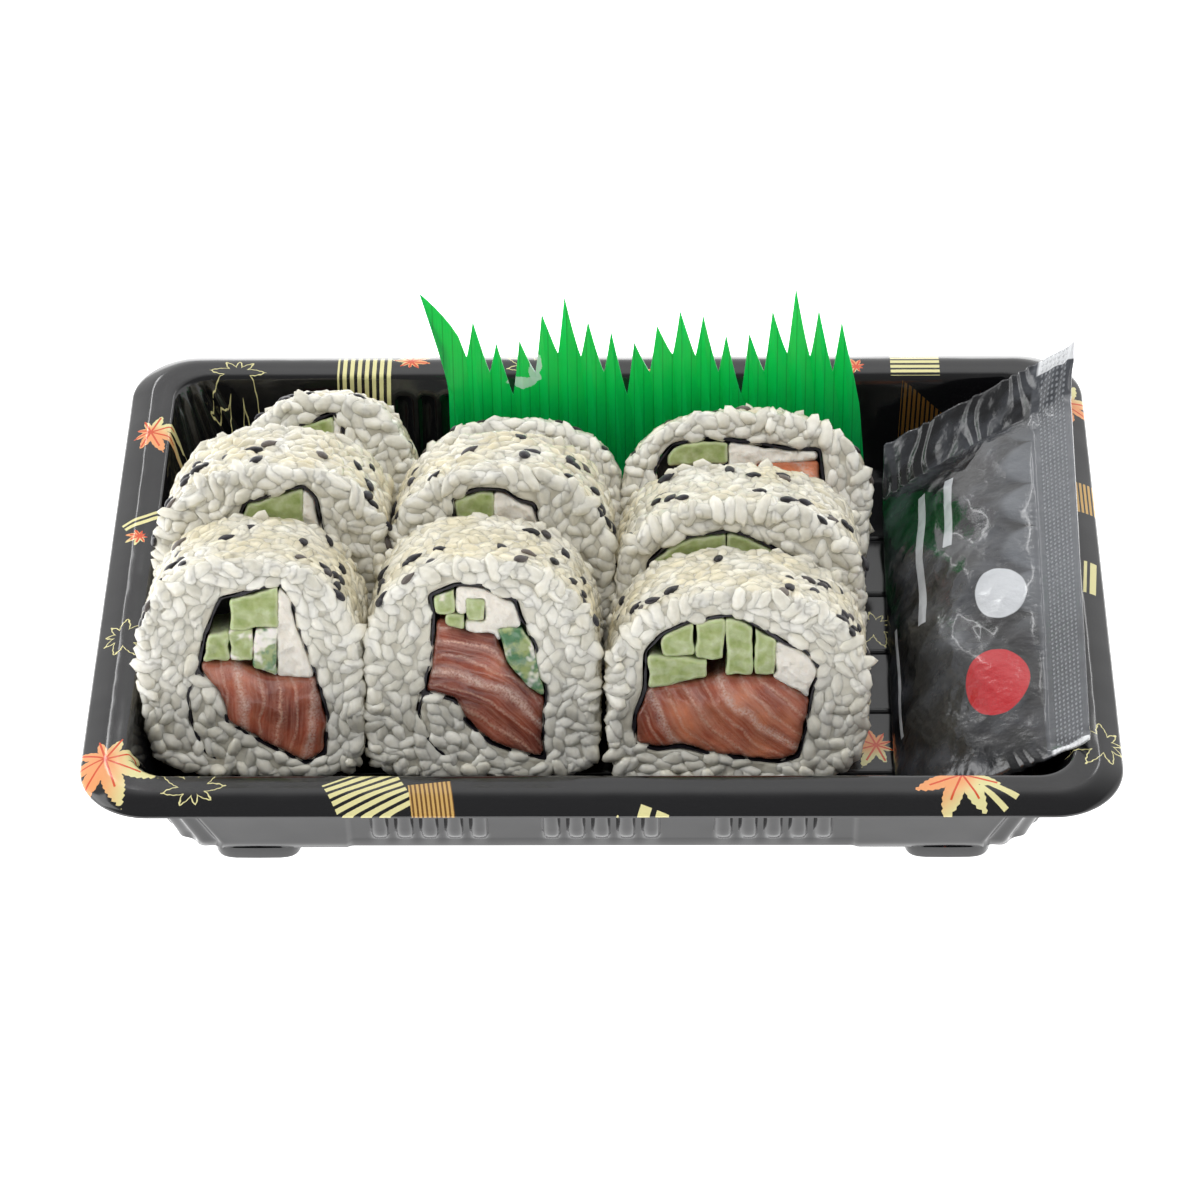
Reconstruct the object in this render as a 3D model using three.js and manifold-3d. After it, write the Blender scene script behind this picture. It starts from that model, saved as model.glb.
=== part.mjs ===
// Takeaway sushi tray: a pressed black tray with nine inside-out rolls in three rows,
// a pleated green grass divider behind them and a soy sauce sachet leaning on the right rim.
// Millimetres, +Z up. The origin is under the middle of the tray, on the plane of its feet.
// The rows run along X, and the cut faces of the rolls look towards -Y and up.

import * as THREE from "three";
import { mergeVertices } from "three/addons/utils/BufferGeometryUtils.js";
import Module from "manifold-3d";

const wasm = await Module();
wasm.setup();

// ---- Driving sizes ----

const GAP = 0.3; // between neighbouring pieces

const TRAY = {
  length: 186, // outer lip to outer lip, along X
  width: 132, // along Y
  height: 25, // feet to the top of the rim
  lipCorner: 13, // plan radius of the lip's corners
  base: 2.4, // underside of the floor between the feet
  floor: 3.2, // top of the floor
  wallStart: 8.9, // inset of the inner wall at its top
  wallEnd: 13.9, // inset of the inner wall at its foot
  wall: 1, // thickness of the side walls
  baseCorner: 12, // plan radius where wall and floor meet
  recess: 1, // depth of the middle panels behind the corner panels
  pleat: 0.55, // height of the vertical pleats in the corners
  cornerSteps: 8, // facets round one corner
};
const PANEL = { longEnd: 45, shortEnd: 16, slope: 1.4 }; // where the middle panels stop
const FLUTE = {
  width: 3.1,
  proud: 1.3,
  lowShare: 0.6, // of that height at its foot
  highShare: 0.9,
  pitch: 4.5,
  perGroup: 5,
  bottom: 5,
  top: 21,
};
const FLUTE_GROUPS = { long: [-31, 0, 31], short: [0] };
const RIB = { height: 0.5, width: 1.2, pitch: 16.7, count: 5, length: 148 };
const FOOT = { x: 62.5, y: 45, top: 17.2, bottom: 16, skin: 0.8, taper: 1 };
const STEP = { x: 50.5, y: 45.5, top: 12, bottom: 10, drop: 1.2 };
const SUNK = 0.3; // how far an added form starts inside what carries it
const CUT_CORNER = 0.2; // of a foot's width

const REST = TRAY.floor + RIB.height + GAP; // lowest point of the food

// A roll's outline is a rounded box: a power of 2 would be an ellipse.
const OUTLINE_POWER = 2.35;
const FOOT_POWER = 3.6; // a roll sags where it rests, so the lower half of its outline is squarer
// The rice: height of its bumps, of those on the cut faces, the rounding of the cut edge, how far
// in the cut face lies flat, and the points round and along a roll.
const GRAIN = { bump: 1, face: 0.8, edge: 1.5, flatFrom: 4.5, around: 26, along: 4 };
// Sesame seeds lie on the upper half of a roll, this far from its cut faces and its neighbours.
const SEED = {
  length: 3.2,
  width: 2,
  thickness: 1.3,
  sunk: 0.25,
  upper: [0.12, 0.88], // of half a turn
  fromFace: 3.5,
  fromSide: 2.5,
  leftEnd: -82,
  rightEnd: 60,
};
const NORI = { thickness: 0.7, shortTail: 0.2 };
const UNEVEN = 0.15; // how unevenly the cucumber is cut

const DIVIDER = {
  left: -30.5,
  right: 51,
  y: 45.7, // of its foot
  lean: 0.07, // step back for each millimetre up
  thickness: 0.5,
  pleat: 0.45, // half the depth of a pleat
  blade: 4.42, // from one tip to the next
  firstTip: -29.8,
  body: 25, // height below which the sheet isn't cut
  tips: [
    51.4, 45.4, 40.7, 40.8, 47.1, 51.4, 45.1, 43.1, 40.8, 44.1, 47.7, 47.1, 42, 42.5, 48.1, 52.6,
    47.9, 45.6,
  ],
  valleys: [36.6, 33, 27.7, 33, 37.2], // of the cut to the right of five neighbouring tips
  valleyAt: 0.67, // of the way to the next tip
  endIn: 3.5, // the last blade is cut short
  endHeight: 34.5,
  bend: -5.6, // the first tip is bent to the left
};

const SACHET = {
  film: 0.6,
  top: 6.5, // bulge of the filled part over the plane of its seals
  under: 3.4, // and below it
  seal: 0.2, // share of the width taken by the flat right seal
  across: 9,
  along: 13,
  fullAcross: 0.7, // the lower, the fuller
  fullAlong: 0.45,
  wrinkle: 0.5,
  wrinkleTurn: [1.7, 2.3], // from one point to the next across and along
  crease: 0.9, // where the back seal folds up, as a share of the length
  leftEdge: [[53.4, -50.5, 5.4], [53.8, 38.5, 8.6], [54.2, 46.2, 16]],
  rightEdge: [[87, -50.5, 27], [89.6, 44, 30.6], [90.8, 53.6, 35.6]],
};

// Each roll lies tilted back on the lower edge of its back face. footY is the Y of the lowest
// point of its front face, and lean is the tilt in degrees. minX and maxX are where it is pressed
// flat by its neighbours. The filling's outlines are seen on the front face, from its middle.
const ROLLS = [
  { name: "front_left", x: -63.2, footY: -45.5, width: 40.5, height: 42, depth: 25.7, lean: 20,
    maxX: -43, filling: "tall", proud: GAP, seeds: 9 },
  { name: "front_middle", x: -21.5, footY: -45.5, width: 42, height: 42, depth: 25.6, lean: 20,
    minX: -42.6, maxX: -0.2, filling: "folded", proud: GAP, seeds: 9 },
  { name: "front_right", x: 24.5, footY: -47, width: 47, height: 37, depth: 24.8, lean: 20,
    minX: 0.2, filling: "wide", proud: GAP, seeds: 9 },
  { name: "middle_left", x: -60.5, footY: -17.2, width: 44, height: 41, depth: 25, lean: 20,
    maxX: -39.8, filling: "tall", plain: true, seeds: 9 },
  { name: "middle_centre", x: -18.8, footY: -17, width: 42, height: 41, depth: 23, lean: 20,
    minX: -39.4, maxX: 1.9, filling: "folded", plain: true, seeds: 9 },
  { name: "middle_right", x: 25, footY: -20, width: 46, height: 36, depth: 24, lean: 20,
    minX: 2.3, filling: "wide", shrink: [1, 0.88], plain: true, seeds: 9 },
  { name: "back_left", x: -53, footY: 10.5, width: 33.4, height: 34, depth: 17, lean: 36,
    maxX: -36.6, filling: "tall", shrink: [0.71, 0.8], shift: [-2.5, 0], plain: true, seeds: 4 },
  { name: "back_middle", x: -16.5, footY: 9, width: 39.5, height: 30, depth: 16, lean: 40,
    minX: -36.2, maxX: 3, filling: "folded", shrink: [0.9, 0.66], plain: true, seeds: 4 },
  { name: "back_right", x: 26.7, footY: 7, width: 47, height: 33, depth: 16, lean: 38,
    minX: 3.4, filling: "low", seeds: 4 },
];

// loop is the middle line of the nori, and tail is its loose end outside the loop. The other
// outlines may reach past the loop: each filling is cut to the room inside it. Rolls whose face is
// mostly hidden take the plain outlines, with fewer and wider pieces in the same places.
const FILLINGS = {
  tall: {
    loop: [[-2, 14.5], [5.8, 17], [8, 14.5], [8.8, 9.8], [12.2, -1.4], [14, -9], [13.2, -16],
      [9.5, -18], [2.6, -14.2], [-4.3, -10], [-5.3, -5.6], [-9.2, 0.4], [-7.7, 7], [-4.7, 14]],
    tail: [[-9.2, 0.4], [-11.3, -4.3], [-10.8, -10], [-8.5, -15.4], [-6, -17.6]],
    salmon: [[-12, 1.5], [-3, 2], [3, -0.9], [16, -1.4], [16, -20], [-12, -20]],
    cucumbers: [
      [[-2.8, 18], [5.6, 18], [5.4, 8.8], [-3, 8.2]],
      [[-3.2, 7.8], [0.9, 8.1], [0.6, 2.4], [-3.1, 2.4]],
      [[1.3, 8.2], [5.2, 8.4], [4.9, -0.6], [1, 1]],
      [[-7, 7], [-3.6, 7.4], [-3.5, 2.4], [-8, 2.2]],
    ],
    cream: [[2, 18], [16, 18], [16, -3], [2, -3]],
    plain: {
      cucumbers: [[[-10, 18], [5.6, 18], [5.3, -0.6], [-3, 2.4], [-10, 2.2]]],
    },
  },
  folded: {
    loop: [[-9, 14.7], [-4.2, 16.6], [0.9, 16.4], [3.6, 14.3], [6.3, 13.8], [7, 10.5], [9.9, 4.9],
      [11.7, -4], [11, -12], [11.2, -17], [5.3, -15.6], [1.3, -13.9], [-2.9, -10], [-5, -5.5],
      [-10.6, -4], [-9, 2.7], [-8.3, 10]],
    tail: [[-10.4, -3.8], [-11.6, -8], [-10.4, -12], [-8.4, -15], [-6, -17.4]],
    salmon: [[-12, 9.6], [-7, 9.6], [-2.8, 7.5], [2.4, 7.3], [4.6, 1], [8, -3.2], [13, -7],
      [13, -19], [-12, -19]],
    cucumbers: [
      [[-8.8, 18], [-4.6, 18], [-4.5, 11.4], [-9, 11.2]],
      [[-5.9, 10.9], [-2.9, 10.9], [-2.9, 8.2], [-5.9, 9.2]],
      [[-2.4, 14], [0.8, 13.8], [0.7, 9.8], [-2.3, 10]],
      [[3.2, 8.2], [9, 8.4], [13, -5.8], [8.4, -2.6], [5, 1.6]],
    ],
    cream: [[-5.5, 18], [9, 18], [9, 6], [-5.5, 6]],
    plain: {
      cucumbers: [[[-10, 18], [-1.2, 18], [-1.2, 7.9], [-2.9, 7.9], [-6.9, 10], [-10, 10]]],
      cream: [[-2, 18], [14, 18], [14, -8], [-2, -8]],
    },
  },
  wide: {
    loop: [[-16.4, 7.5], [-13.5, 10.8], [-8.8, 13.3], [-1, 14.4], [3.7, 12.3], [8.5, 9], [12, 7.7],
      [15, 3.9], [13.4, 0], [12.2, -8], [11, -12.8], [7.8, -14], [-3.9, -12.6], [-10, -10.8],
      [-14.5, -11.4], [-18.7, -10.4], [-18.4, -4.4], [-16.6, 0.3]],
    salmon: [[-20, -0.4], [-9, 1.6], [-2, 2.7], [6, 2.6], [10.6, 0], [14, -3], [14, -16], [-20, -16]],
    cucumbers: [
      [[-2.1, 16], [2.6, 16], [2.6, 3.3], [-2, 3.3]],
      [[3, 13], [6.6, 13], [6.6, 3.2], [3, 3.2]],
      [[-7.5, 16], [-2.5, 16], [-2.6, 6.2], [-7.4, 6.4]],
      [[-15, 14], [-8, 14], [-7.9, 7.1], [-13.2, 7]],
      [[-16, 6.6], [-5.6, 6], [-5.6, 2.8], [-15.8, 0.8]],
    ],
    cream: [[2, 15], [17, 15], [17, -8], [2, -8]],
    plain: {
      cucumbers: [
        [[-2.1, 16], [6.6, 16], [6.6, 3.2], [-2, 3.3]],
        [[-17, 16], [-2.5, 16], [-2.6, 3], [-9, 2.1], [-17, 0.8]],
      ],
    },
  },
  low: {
    loop: [[-17, 6], [-14, 10], [-8, 11.6], [0, 10.8], [8, 9.4], [14, 9.4], [14.8, 2], [13, -6],
      [6, -10.5], [-6, -10.5], [-14, -8], [-17.5, -1]],
    salmon: [[-19, 1], [1, 2], [2, 6.4], [16, 7.2], [16, -12], [-19, -12]],
    cucumbers: [[[-14.6, 13], [-3.4, 13], [-3.4, 6.8], [-14.6, 6.4]]],
    cream: [[-3.2, 13], [16, 13], [16, 3], [-3.2, 3]],
  },
};

// ---- Small tools ----

// The same draw of numbers from 0 to 1 on every run.
function draw(seed) {
  let state = seed;
  return () => {
    state = (state + 0x6d2b79f5) | 0;
    let mixed = Math.imul(state ^ (state >>> 15), 1 | state);
    mixed = (mixed + Math.imul(mixed ^ (mixed >>> 7), 61 | mixed)) ^ mixed;
    return ((mixed ^ (mixed >>> 14)) >>> 0) / 4294967296;
  };
}

const mix = (a, b, share) => a + (b - a) * share;

function geometryFrom(positions, triangles) {
  const geometry = new THREE.BufferGeometry();
  geometry.setAttribute("position", new THREE.Float32BufferAttribute(positions.flat(), 3));
  geometry.setIndex(triangles.flat());
  return geometry;
}

function solidOf(geometry) {
  const bare = geometry.clone();
  bare.deleteAttribute("normal");
  bare.deleteAttribute("uv");
  const merged = mergeVertices(bare, 1e-4);
  return new wasm.Manifold(
    new wasm.Mesh({
      numProp: 3,
      vertProperties: merged.attributes.position.array,
      triVerts: new Uint32Array(merged.index.array),
    }),
  );
}

function geometryOf(solid) {
  const mesh = solid.getMesh();
  const geometry = new THREE.BufferGeometry();
  geometry.setAttribute("position", new THREE.BufferAttribute(mesh.vertProperties, 3));
  geometry.setIndex(new THREE.BufferAttribute(mesh.triVerts, 1));
  geometry.computeVertexNormals();
  return geometry;
}

// The biggest piece of a cut solid: loose scraps are dropped.
function largest(solid) {
  return solid.decompose().reduce((a, b) => (a.volume() > b.volume() ? a : b));
}

// A closed outline pushed out by a distance, or in by a negative one.
function grown(outline, distance) {
  const turn = THREE.ShapeUtils.area(outline.map(([x, y]) => new THREE.Vector2(x, y))) > 0 ? 1 : -1;
  const edgeNormal = (from, to) => {
    const length = Math.hypot(to[0] - from[0], to[1] - from[1]);
    return [(turn * (to[1] - from[1])) / length, (-turn * (to[0] - from[0])) / length];
  };
  return outline.map((point, i) => {
    const before = edgeNormal(outline.at(i - 1), point);
    const after = edgeNormal(point, outline[(i + 1) % outline.length]);
    const spread = Math.max(0.5, 1 + before[0] * after[0] + before[1] * after[1]);
    return [0, 1].map((k) => point[k] + (distance * (before[k] + after[k])) / spread);
  });
}

// A closed outline round an open path: the path with a width.
function strip(path, width) {
  const side = (sign) =>
    path.map(([x, y], i) => {
      const from = path[Math.max(i - 1, 0)];
      const to = path[Math.min(i + 1, path.length - 1)];
      const length = Math.hypot(to[0] - from[0], to[1] - from[1]);
      const half = (sign * width) / 2 / length;
      return [x - half * (to[1] - from[1]), y + half * (to[0] - from[0])];
    });
  return [...side(1), ...side(-1).reverse()];
}

// An outline in X and Y as a solid from one height to another.
function prism(outline, bottom, top) {
  const shape = new THREE.Shape(outline.map(([x, y]) => new THREE.Vector2(x, y)));
  const geometry = new THREE.ExtrudeGeometry(shape, { depth: top - bottom, bevelEnabled: false });
  return solidOf(geometry.translate(0, 0, bottom));
}

// The closed band of triangles between two rings of equal length. Its faces look outwards where the
// second ring is above the first and both run anticlockwise.
function band(first, second, count) {
  return Array.from({ length: count }, (_, i) => {
    const next = (i + 1) % count;
    return [[first + i, first + next, second + next], [first + i, second + next, second + i]];
  }).flat();
}

// A thin closed solid between two grids of points with the same rows and columns.
function sheet(front, back) {
  const rows = front.length;
  const columns = front[0].length;
  const behind = rows * columns;
  const at = (row, column) => row * columns + column;
  const triangles = [];
  const quad = (a, b, c, d) => triangles.push([a, b, c], [a, c, d]);
  for (let row = 0; row + 1 < rows; row += 1) {
    for (let column = 0; column + 1 < columns; column += 1) {
      const corners = [at(row, column), at(row, column + 1), at(row + 1, column + 1), at(row + 1, column)];
      quad(...corners);
      const [a, b, c, d] = corners.map((corner) => corner + behind);
      triangles.push([a, c, b], [a, d, c]);
    }
  }
  const border = [];
  for (let column = 0; column < columns - 1; column += 1) border.push(at(0, column));
  for (let row = 0; row < rows - 1; row += 1) border.push(at(row, columns - 1));
  for (let column = columns - 1; column > 0; column -= 1) border.push(at(rows - 1, column));
  for (let row = rows - 1; row > 0; row -= 1) border.push(at(row, 0));
  border.forEach((corner, i) => {
    const next = border[(i + 1) % border.length];
    quad(next, corner, corner + behind, next + behind);
  });
  return geometryFrom([...front.flat(), ...back.flat()], triangles);
}

function piece(name, geometry, material) {
  const mesh = new THREE.Mesh(geometry, material);
  mesh.name = name;
  return mesh;
}

// ---- Materials ----

const MATERIALS = {
  tray: new THREE.MeshStandardMaterial({ color: 0x1c1c1e, roughness: 0.18, metalness: 0 }),
  rice: new THREE.MeshStandardMaterial({ color: 0xe9e6da, roughness: 0.45, metalness: 0 }),
  nori: new THREE.MeshStandardMaterial({ color: 0x15121a, roughness: 0.5, metalness: 0 }),
  salmon: new THREE.MeshStandardMaterial({ color: 0xc4704f, roughness: 0.35, metalness: 0 }),
  cucumber: new THREE.MeshStandardMaterial({ color: 0xb4c478, roughness: 0.35, metalness: 0 }),
  cream: new THREE.MeshStandardMaterial({ color: 0xefe6dc, roughness: 0.5, metalness: 0 }),
  divider: new THREE.MeshStandardMaterial({
    color: 0x00a044,
    roughness: 0.35,
    metalness: 0,
    side: THREE.DoubleSide,
  }),
  sachet: new THREE.MeshStandardMaterial({ color: 0x1a1b1e, roughness: 0.2, metalness: 0 }),
};

// ---- The tray ----

// How far a point at a plan position on the tray's edge stands behind the corner panels.
function panelDepth(along, end) {
  return TRAY.recess * THREE.MathUtils.smoothstep(end + PANEL.slope - Math.abs(along), 0, PANEL.slope);
}

// One ring of the tray: a rounded rectangle inset from the lip, at one height. Shaped rings carry
// the corner pleats and the recess of the middle panels.
function trayRing({ inset, z, corner, shaped }) {
  const halfX = TRAY.length / 2 - inset;
  const halfY = TRAY.width / 2 - inset;
  const points = [];
  const straight = (end, place) => {
    for (const along of [-end - PANEL.slope, -end, end, end + PANEL.slope]) {
      points.push(place(along, shaped ? panelDepth(along, end) : 0));
    }
  };
  const turn = (quarter, centreX, centreY) => {
    for (let i = 0; i <= TRAY.cornerSteps; i += 1) {
      const angle = ((quarter + i / TRAY.cornerSteps) * Math.PI) / 2;
      const inner = i > 0 && i < TRAY.cornerSteps;
      const radius = corner + (shaped && inner ? TRAY.pleat * (i % 2 ? -1 : 1) : 0);
      points.push([centreX + radius * Math.cos(angle), centreY + radius * Math.sin(angle), z]);
    }
  };
  turn(0, halfX - corner, halfY - corner);
  straight(PANEL.longEnd, (along, depth) => [-along, halfY - depth, z]);
  turn(1, corner - halfX, halfY - corner);
  straight(PANEL.shortEnd, (along, depth) => [depth - halfX, -along, z]);
  turn(2, corner - halfX, corner - halfY);
  straight(PANEL.longEnd, (along, depth) => [along, depth - halfY, z]);
  turn(3, halfX - corner, corner - halfY);
  straight(PANEL.shortEnd, (along, depth) => [halfX - depth, along, z]);
  return points;
}

// Inset of the inner wall at a height.
function wallInset(z) {
  const share = (TRAY.height - z) / (TRAY.height - TRAY.floor);
  return mix(TRAY.wallStart, TRAY.wallEnd, share);
}

function trayShell() {
  const rimCorner = TRAY.lipCorner - 6;
  const profile = [
    { inset: 2.4, z: 22.6, corner: TRAY.lipCorner - 2 },
    { inset: 0, z: 22.6, corner: TRAY.lipCorner },
    { inset: 0, z: 23.2, corner: TRAY.lipCorner },
    { inset: 1.5, z: 23.5, corner: TRAY.lipCorner - 1.5 },
    { inset: 2.6, z: 24.6, corner: TRAY.lipCorner - 2.5 },
    { inset: 3.7, z: TRAY.height, corner: TRAY.lipCorner - 3.4 },
    { inset: TRAY.wallStart - 0.7, z: TRAY.height, corner: rimCorner },
    { inset: TRAY.wallStart, z: TRAY.height - 0.7, corner: rimCorner },
    { inset: TRAY.wallEnd, z: TRAY.floor + 1.4, corner: TRAY.baseCorner, shaped: true },
    { inset: TRAY.wallEnd + 1.6, z: TRAY.floor, corner: TRAY.baseCorner - 1 },
    { inset: TRAY.wallEnd + 1.2, z: TRAY.base, corner: TRAY.baseCorner - 1 },
    { inset: TRAY.wallEnd - TRAY.wall, z: TRAY.base + 1.6, corner: TRAY.baseCorner + 1, shaped: true },
    { inset: TRAY.wallStart - TRAY.wall, z: TRAY.height - 1.4, corner: rimCorner + 1 },
    { inset: 3.8, z: TRAY.height - 1.2, corner: TRAY.lipCorner - 3.4 },
  ];
  const rings = profile.map(trayRing);
  const count = rings[0].length;
  const floorRing = profile.findIndex(({ z }) => z === TRAY.floor);
  const triangles = rings.flatMap((_, i) =>
    i === floorRing ? [] : band(i * count, ((i + 1) % rings.length) * count, count),
  );
  const cap = THREE.ShapeUtils.triangulateShape(
    rings[floorRing].map(([x, y]) => new THREE.Vector2(x, y)),
    [],
  );
  cap.forEach(([a, b, c]) => triangles.push([a, b, c].map((corner) => floorRing * count + corner)));
  cap.forEach(([a, b, c]) => triangles.push([c, b, a].map((corner) => (floorRing + 1) * count + corner)));
  return solidOf(geometryFrom(rings.flat(), triangles));
}

// A frustum with square plan and cut corners, from one height up to another.
function pad(x, y, bottomSize, topSize, bottom, top) {
  const ring = (size, z) => {
    const half = size / 2;
    const cut = half - size * CUT_CORNER;
    return [[half, -cut], [half, cut], [cut, half], [-cut, half], [-half, cut], [-half, -cut],
      [-cut, -half], [cut, -half]].map(([dx, dy]) => [x + dx, y + dy, z]);
  };
  const sides = band(0, 8, 8);
  const caps = [1, 2, 3, 4, 5, 6].flatMap((i) => [[0, i + 1, i], [8, 8 + i, 9 + i]]);
  return solidOf(geometryFrom([...ring(bottomSize, bottom), ...ring(topSize, top)], [...sides, ...caps]));
}

// One upright flute on the outside of a long wall, its back buried in the wall.
function flute(along) {
  const ring = (z, shrink) => {
    const face = TRAY.width / 2 - wallInset(z) + TRAY.wall - TRAY.recess;
    const half = FLUTE.width / 2;
    const corners = [[-half, face - SUNK], [0, face + FLUTE.proud * shrink], [half, face - SUNK]];
    return corners.map(([x, y]) => [along + x, -y, z]);
  };
  const points = [...ring(FLUTE.bottom, FLUTE.lowShare), ...ring(FLUTE.top, FLUTE.highShare)];
  return solidOf(geometryFrom(points, [...band(0, 3, 3), [0, 2, 1], [3, 4, 5]]));
}

function floorRib(y) {
  const geometry = new THREE.BoxGeometry(RIB.length, RIB.width, RIB.height + SUNK);
  return solidOf(geometry.translate(0, y, TRAY.floor + (RIB.height - SUNK) / 2));
}

function tray() {
  let solid = trayShell();
  for (const groupCentre of FLUTE_GROUPS.long) {
    for (let i = 0; i < FLUTE.perGroup; i += 1) {
      const one = flute(groupCentre + (i - (FLUTE.perGroup - 1) / 2) * FLUTE.pitch);
      solid = solid.add(one).add(one.rotate([0, 0, 180]));
    }
  }
  const toShortWall = (TRAY.length - TRAY.width) / 2;
  for (const groupCentre of FLUTE_GROUPS.short) {
    for (let i = 0; i < FLUTE.perGroup; i += 1) {
      const one = flute(groupCentre + (i - (FLUTE.perGroup - 1) / 2) * FLUTE.pitch);
      const right = one.rotate([0, 0, 90]).translate([toShortWall, 0, 0]);
      solid = solid.add(right).add(right.rotate([0, 0, 180]));
    }
  }
  for (let i = 0; i < RIB.count; i += 1) {
    solid = solid.add(floorRib((i - (RIB.count - 1) / 2) * RIB.pitch));
  }
  for (const sideX of [-1, 1]) {
    for (const sideY of [-1, 1]) {
      const [x, y] = [sideX * FOOT.x, sideY * FOOT.y];
      const hollowTop = TRAY.floor + RIB.height + 1;
      solid = solid
        .add(pad(x, y, FOOT.bottom, FOOT.top, 0, TRAY.floor - SUNK))
        .add(pad(sideX * STEP.x, sideY * STEP.y, STEP.bottom, STEP.top, STEP.drop, TRAY.floor - SUNK))
        .subtract(pad(x, y, FOOT.bottom - 2 * FOOT.taper, FOOT.top - FOOT.taper, FOOT.skin, hollowTop));
    }
  }
  return piece("tray", geometryOf(largest(solid)), MATERIALS.tray);
}

// ---- The rolls ----

// A point of a rounded box outline, from a circle's angle.
function outlinePoint(angle, width, height) {
  const power = 2 / (Math.sin(angle) < -1e-6 ? FOOT_POWER : OUTLINE_POWER);
  const reach = (value, size) => Math.sign(value) * Math.abs(value) ** power * (size / 2);
  return [reach(Math.cos(angle), width), reach(Math.sin(angle), height)];
}

// Height of the middle of a roll's front face over the feet of the tray.
function faceHeight(roll) {
  const lean = THREE.MathUtils.degToRad(roll.lean);
  return REST + (roll.height / 2) * Math.cos(lean) + roll.depth * Math.sin(lean);
}

// Keeps a point of a roll off the floor, the side wall and the rolls beside it.
function pressed(roll, [x, y, z]) {
  const lean = THREE.MathUtils.degToRad(roll.lean);
  const floorY = (REST - faceHeight(roll) - z * Math.sin(lean)) / Math.cos(lean);
  const heldY = Math.max(y, floorY);
  const height = faceHeight(roll) + heldY * Math.cos(lean) + z * Math.sin(lean);
  const wallX = TRAY.length / 2 - wallInset(Math.min(height, TRAY.height)) - 2 * GAP - TRAY.pleat;
  const lowest = Math.max(roll.minX ?? -wallX, -wallX) - roll.x;
  const highest = Math.min(roll.maxX ?? wallX, wallX) - roll.x;
  return [THREE.MathUtils.clamp(x, lowest, highest), heldY, z];
}

// The rice round the filling, with bumps the size of its grains, before the filling's room is cut.
function riceBlock(roll, random) {
  const { around, along, edge, bump, face, flatFrom } = GRAIN;
  const rings = [];
  const ring = (inset, place, rough) => {
    const shift = rings.length % 2 ? 0.5 : 0;
    rings.push(
      Array.from({ length: around }, (_, i) => {
        const angle = (2 * Math.PI * (i + shift)) / around;
        const out = 2 * (rough ? bump * (random() - 0.5) - inset : -inset);
        const [x, y] = outlinePoint(angle, roll.width + out, roll.height + out);
        return pressed(roll, [x, y, place()]);
      }),
    );
  };
  const depths = Array.from({ length: along }, (_, j) => -mix(edge, roll.depth - edge, j / (along - 1)));
  const nearFront = () => -face * random();
  const nearBack = () => -roll.depth + face * random();
  ring(flatFrom, nearFront);
  ring(edge, nearFront, true);
  depths.forEach((z) => ring(0, () => z, true));
  ring(edge, nearBack, true);
  ring(flatFrom, nearBack);
  const points = [...rings.flat(), [0, 0, -face / 2], [0, 0, -roll.depth + face / 2]];
  const triangles = rings.slice(1).flatMap((_, i) => band((i + 1) * around, i * around, around));
  const [frontMiddle, backMiddle] = [points.length - 2, points.length - 1];
  const last = (rings.length - 1) * around;
  for (let i = 0; i < around; i += 1) {
    const next = (i + 1) % around;
    triangles.push([frontMiddle, i, next], [backMiddle, last + next, last + i]);
  }
  return solidOf(geometryFrom(points, triangles));
}

// A sesame seed lying on the outside of a roll, at an angle round it and a depth behind its face.
function seed(roll, random) {
  const angle = mix(...SEED.upper, random()) * Math.PI;
  const z = -mix(SEED.fromFace, roll.depth - SEED.fromFace, random());
  const [x, y] = outlinePoint(angle, roll.width, roll.height);
  const out = Math.atan2(y * roll.width ** 2, x * roll.height ** 2);
  const geometry = new THREE.OctahedronGeometry(1, 0)
    .scale(SEED.length / 2, SEED.width / 2, SEED.thickness / 2)
    .rotateZ(random() * Math.PI)
    .rotateY(Math.PI / 2)
    .rotateZ(out)
    .translate(x - SEED.sunk * Math.cos(out), y - SEED.sunk * Math.sin(out), z);
  const fromLeft = x + roll.x - (roll.minX ?? SEED.leftEnd);
  const fromRight = (roll.maxX ?? SEED.rightEnd) - x - roll.x;
  return Math.min(fromLeft, fromRight) > SEED.fromSide ? solidOf(geometry) : null;
}

function fillingOf(roll) {
  const full = FILLINGS[roll.filling];
  const plan = roll.plain ? { ...full, ...full.plain } : full;
  const [scaleX, scaleY] = roll.shrink ?? [1, 1];
  const [shiftX, shiftY] = roll.shift ?? [0, 0];
  const fit = (outline) => outline.map(([x, y]) => [x * scaleX + shiftX, y * scaleY + shiftY]);
  return {
    loop: fit(plan.loop),
    tail: plan.tail && fit(plan.tail),
    salmon: fit(plan.salmon),
    cream: fit(plan.cream),
    cucumbers: plan.cucumbers.map(fit),
  };
}

function rice(roll, filling, random) {
  const clear = NORI.thickness / 2 + GAP;
  const [back, front] = [-2 * roll.depth, roll.depth];
  let solid = riceBlock(roll, random);
  for (let placed = 0; placed < roll.seeds; ) {
    const one = seed(roll, random);
    if (one) {
      solid = solid.add(one);
      placed += 1;
    }
  }
  solid = solid.subtract(prism(grown(filling.loop, clear), back, front));
  if (filling.tail) solid = solid.subtract(prism(strip(filling.tail, 2 * clear), back, front));
  return largest(solid);
}

function nori(roll, filling) {
  const half = NORI.thickness / 2;
  const [back, front] = [-roll.depth + GAP, -GAP];
  const solid = prism(grown(filling.loop, half), back, front).subtract(
    prism(grown(filling.loop, -half), back - 1, front + 1),
  );
  if (!filling.tail) return solid;
  const [beforeEnd, end] = filling.tail.slice(-2);
  const shortEnd = end.map((value, k) => mix(value, beforeEnd[k], NORI.shortTail));
  const tail = [...filling.tail.slice(0, -1), shortEnd];
  const loose = prism(strip(tail, NORI.thickness), back, front);
  return largest(solid.add(loose.subtract(prism(grown(filling.loop, -half), back - 1, front + 1))));
}

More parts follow.
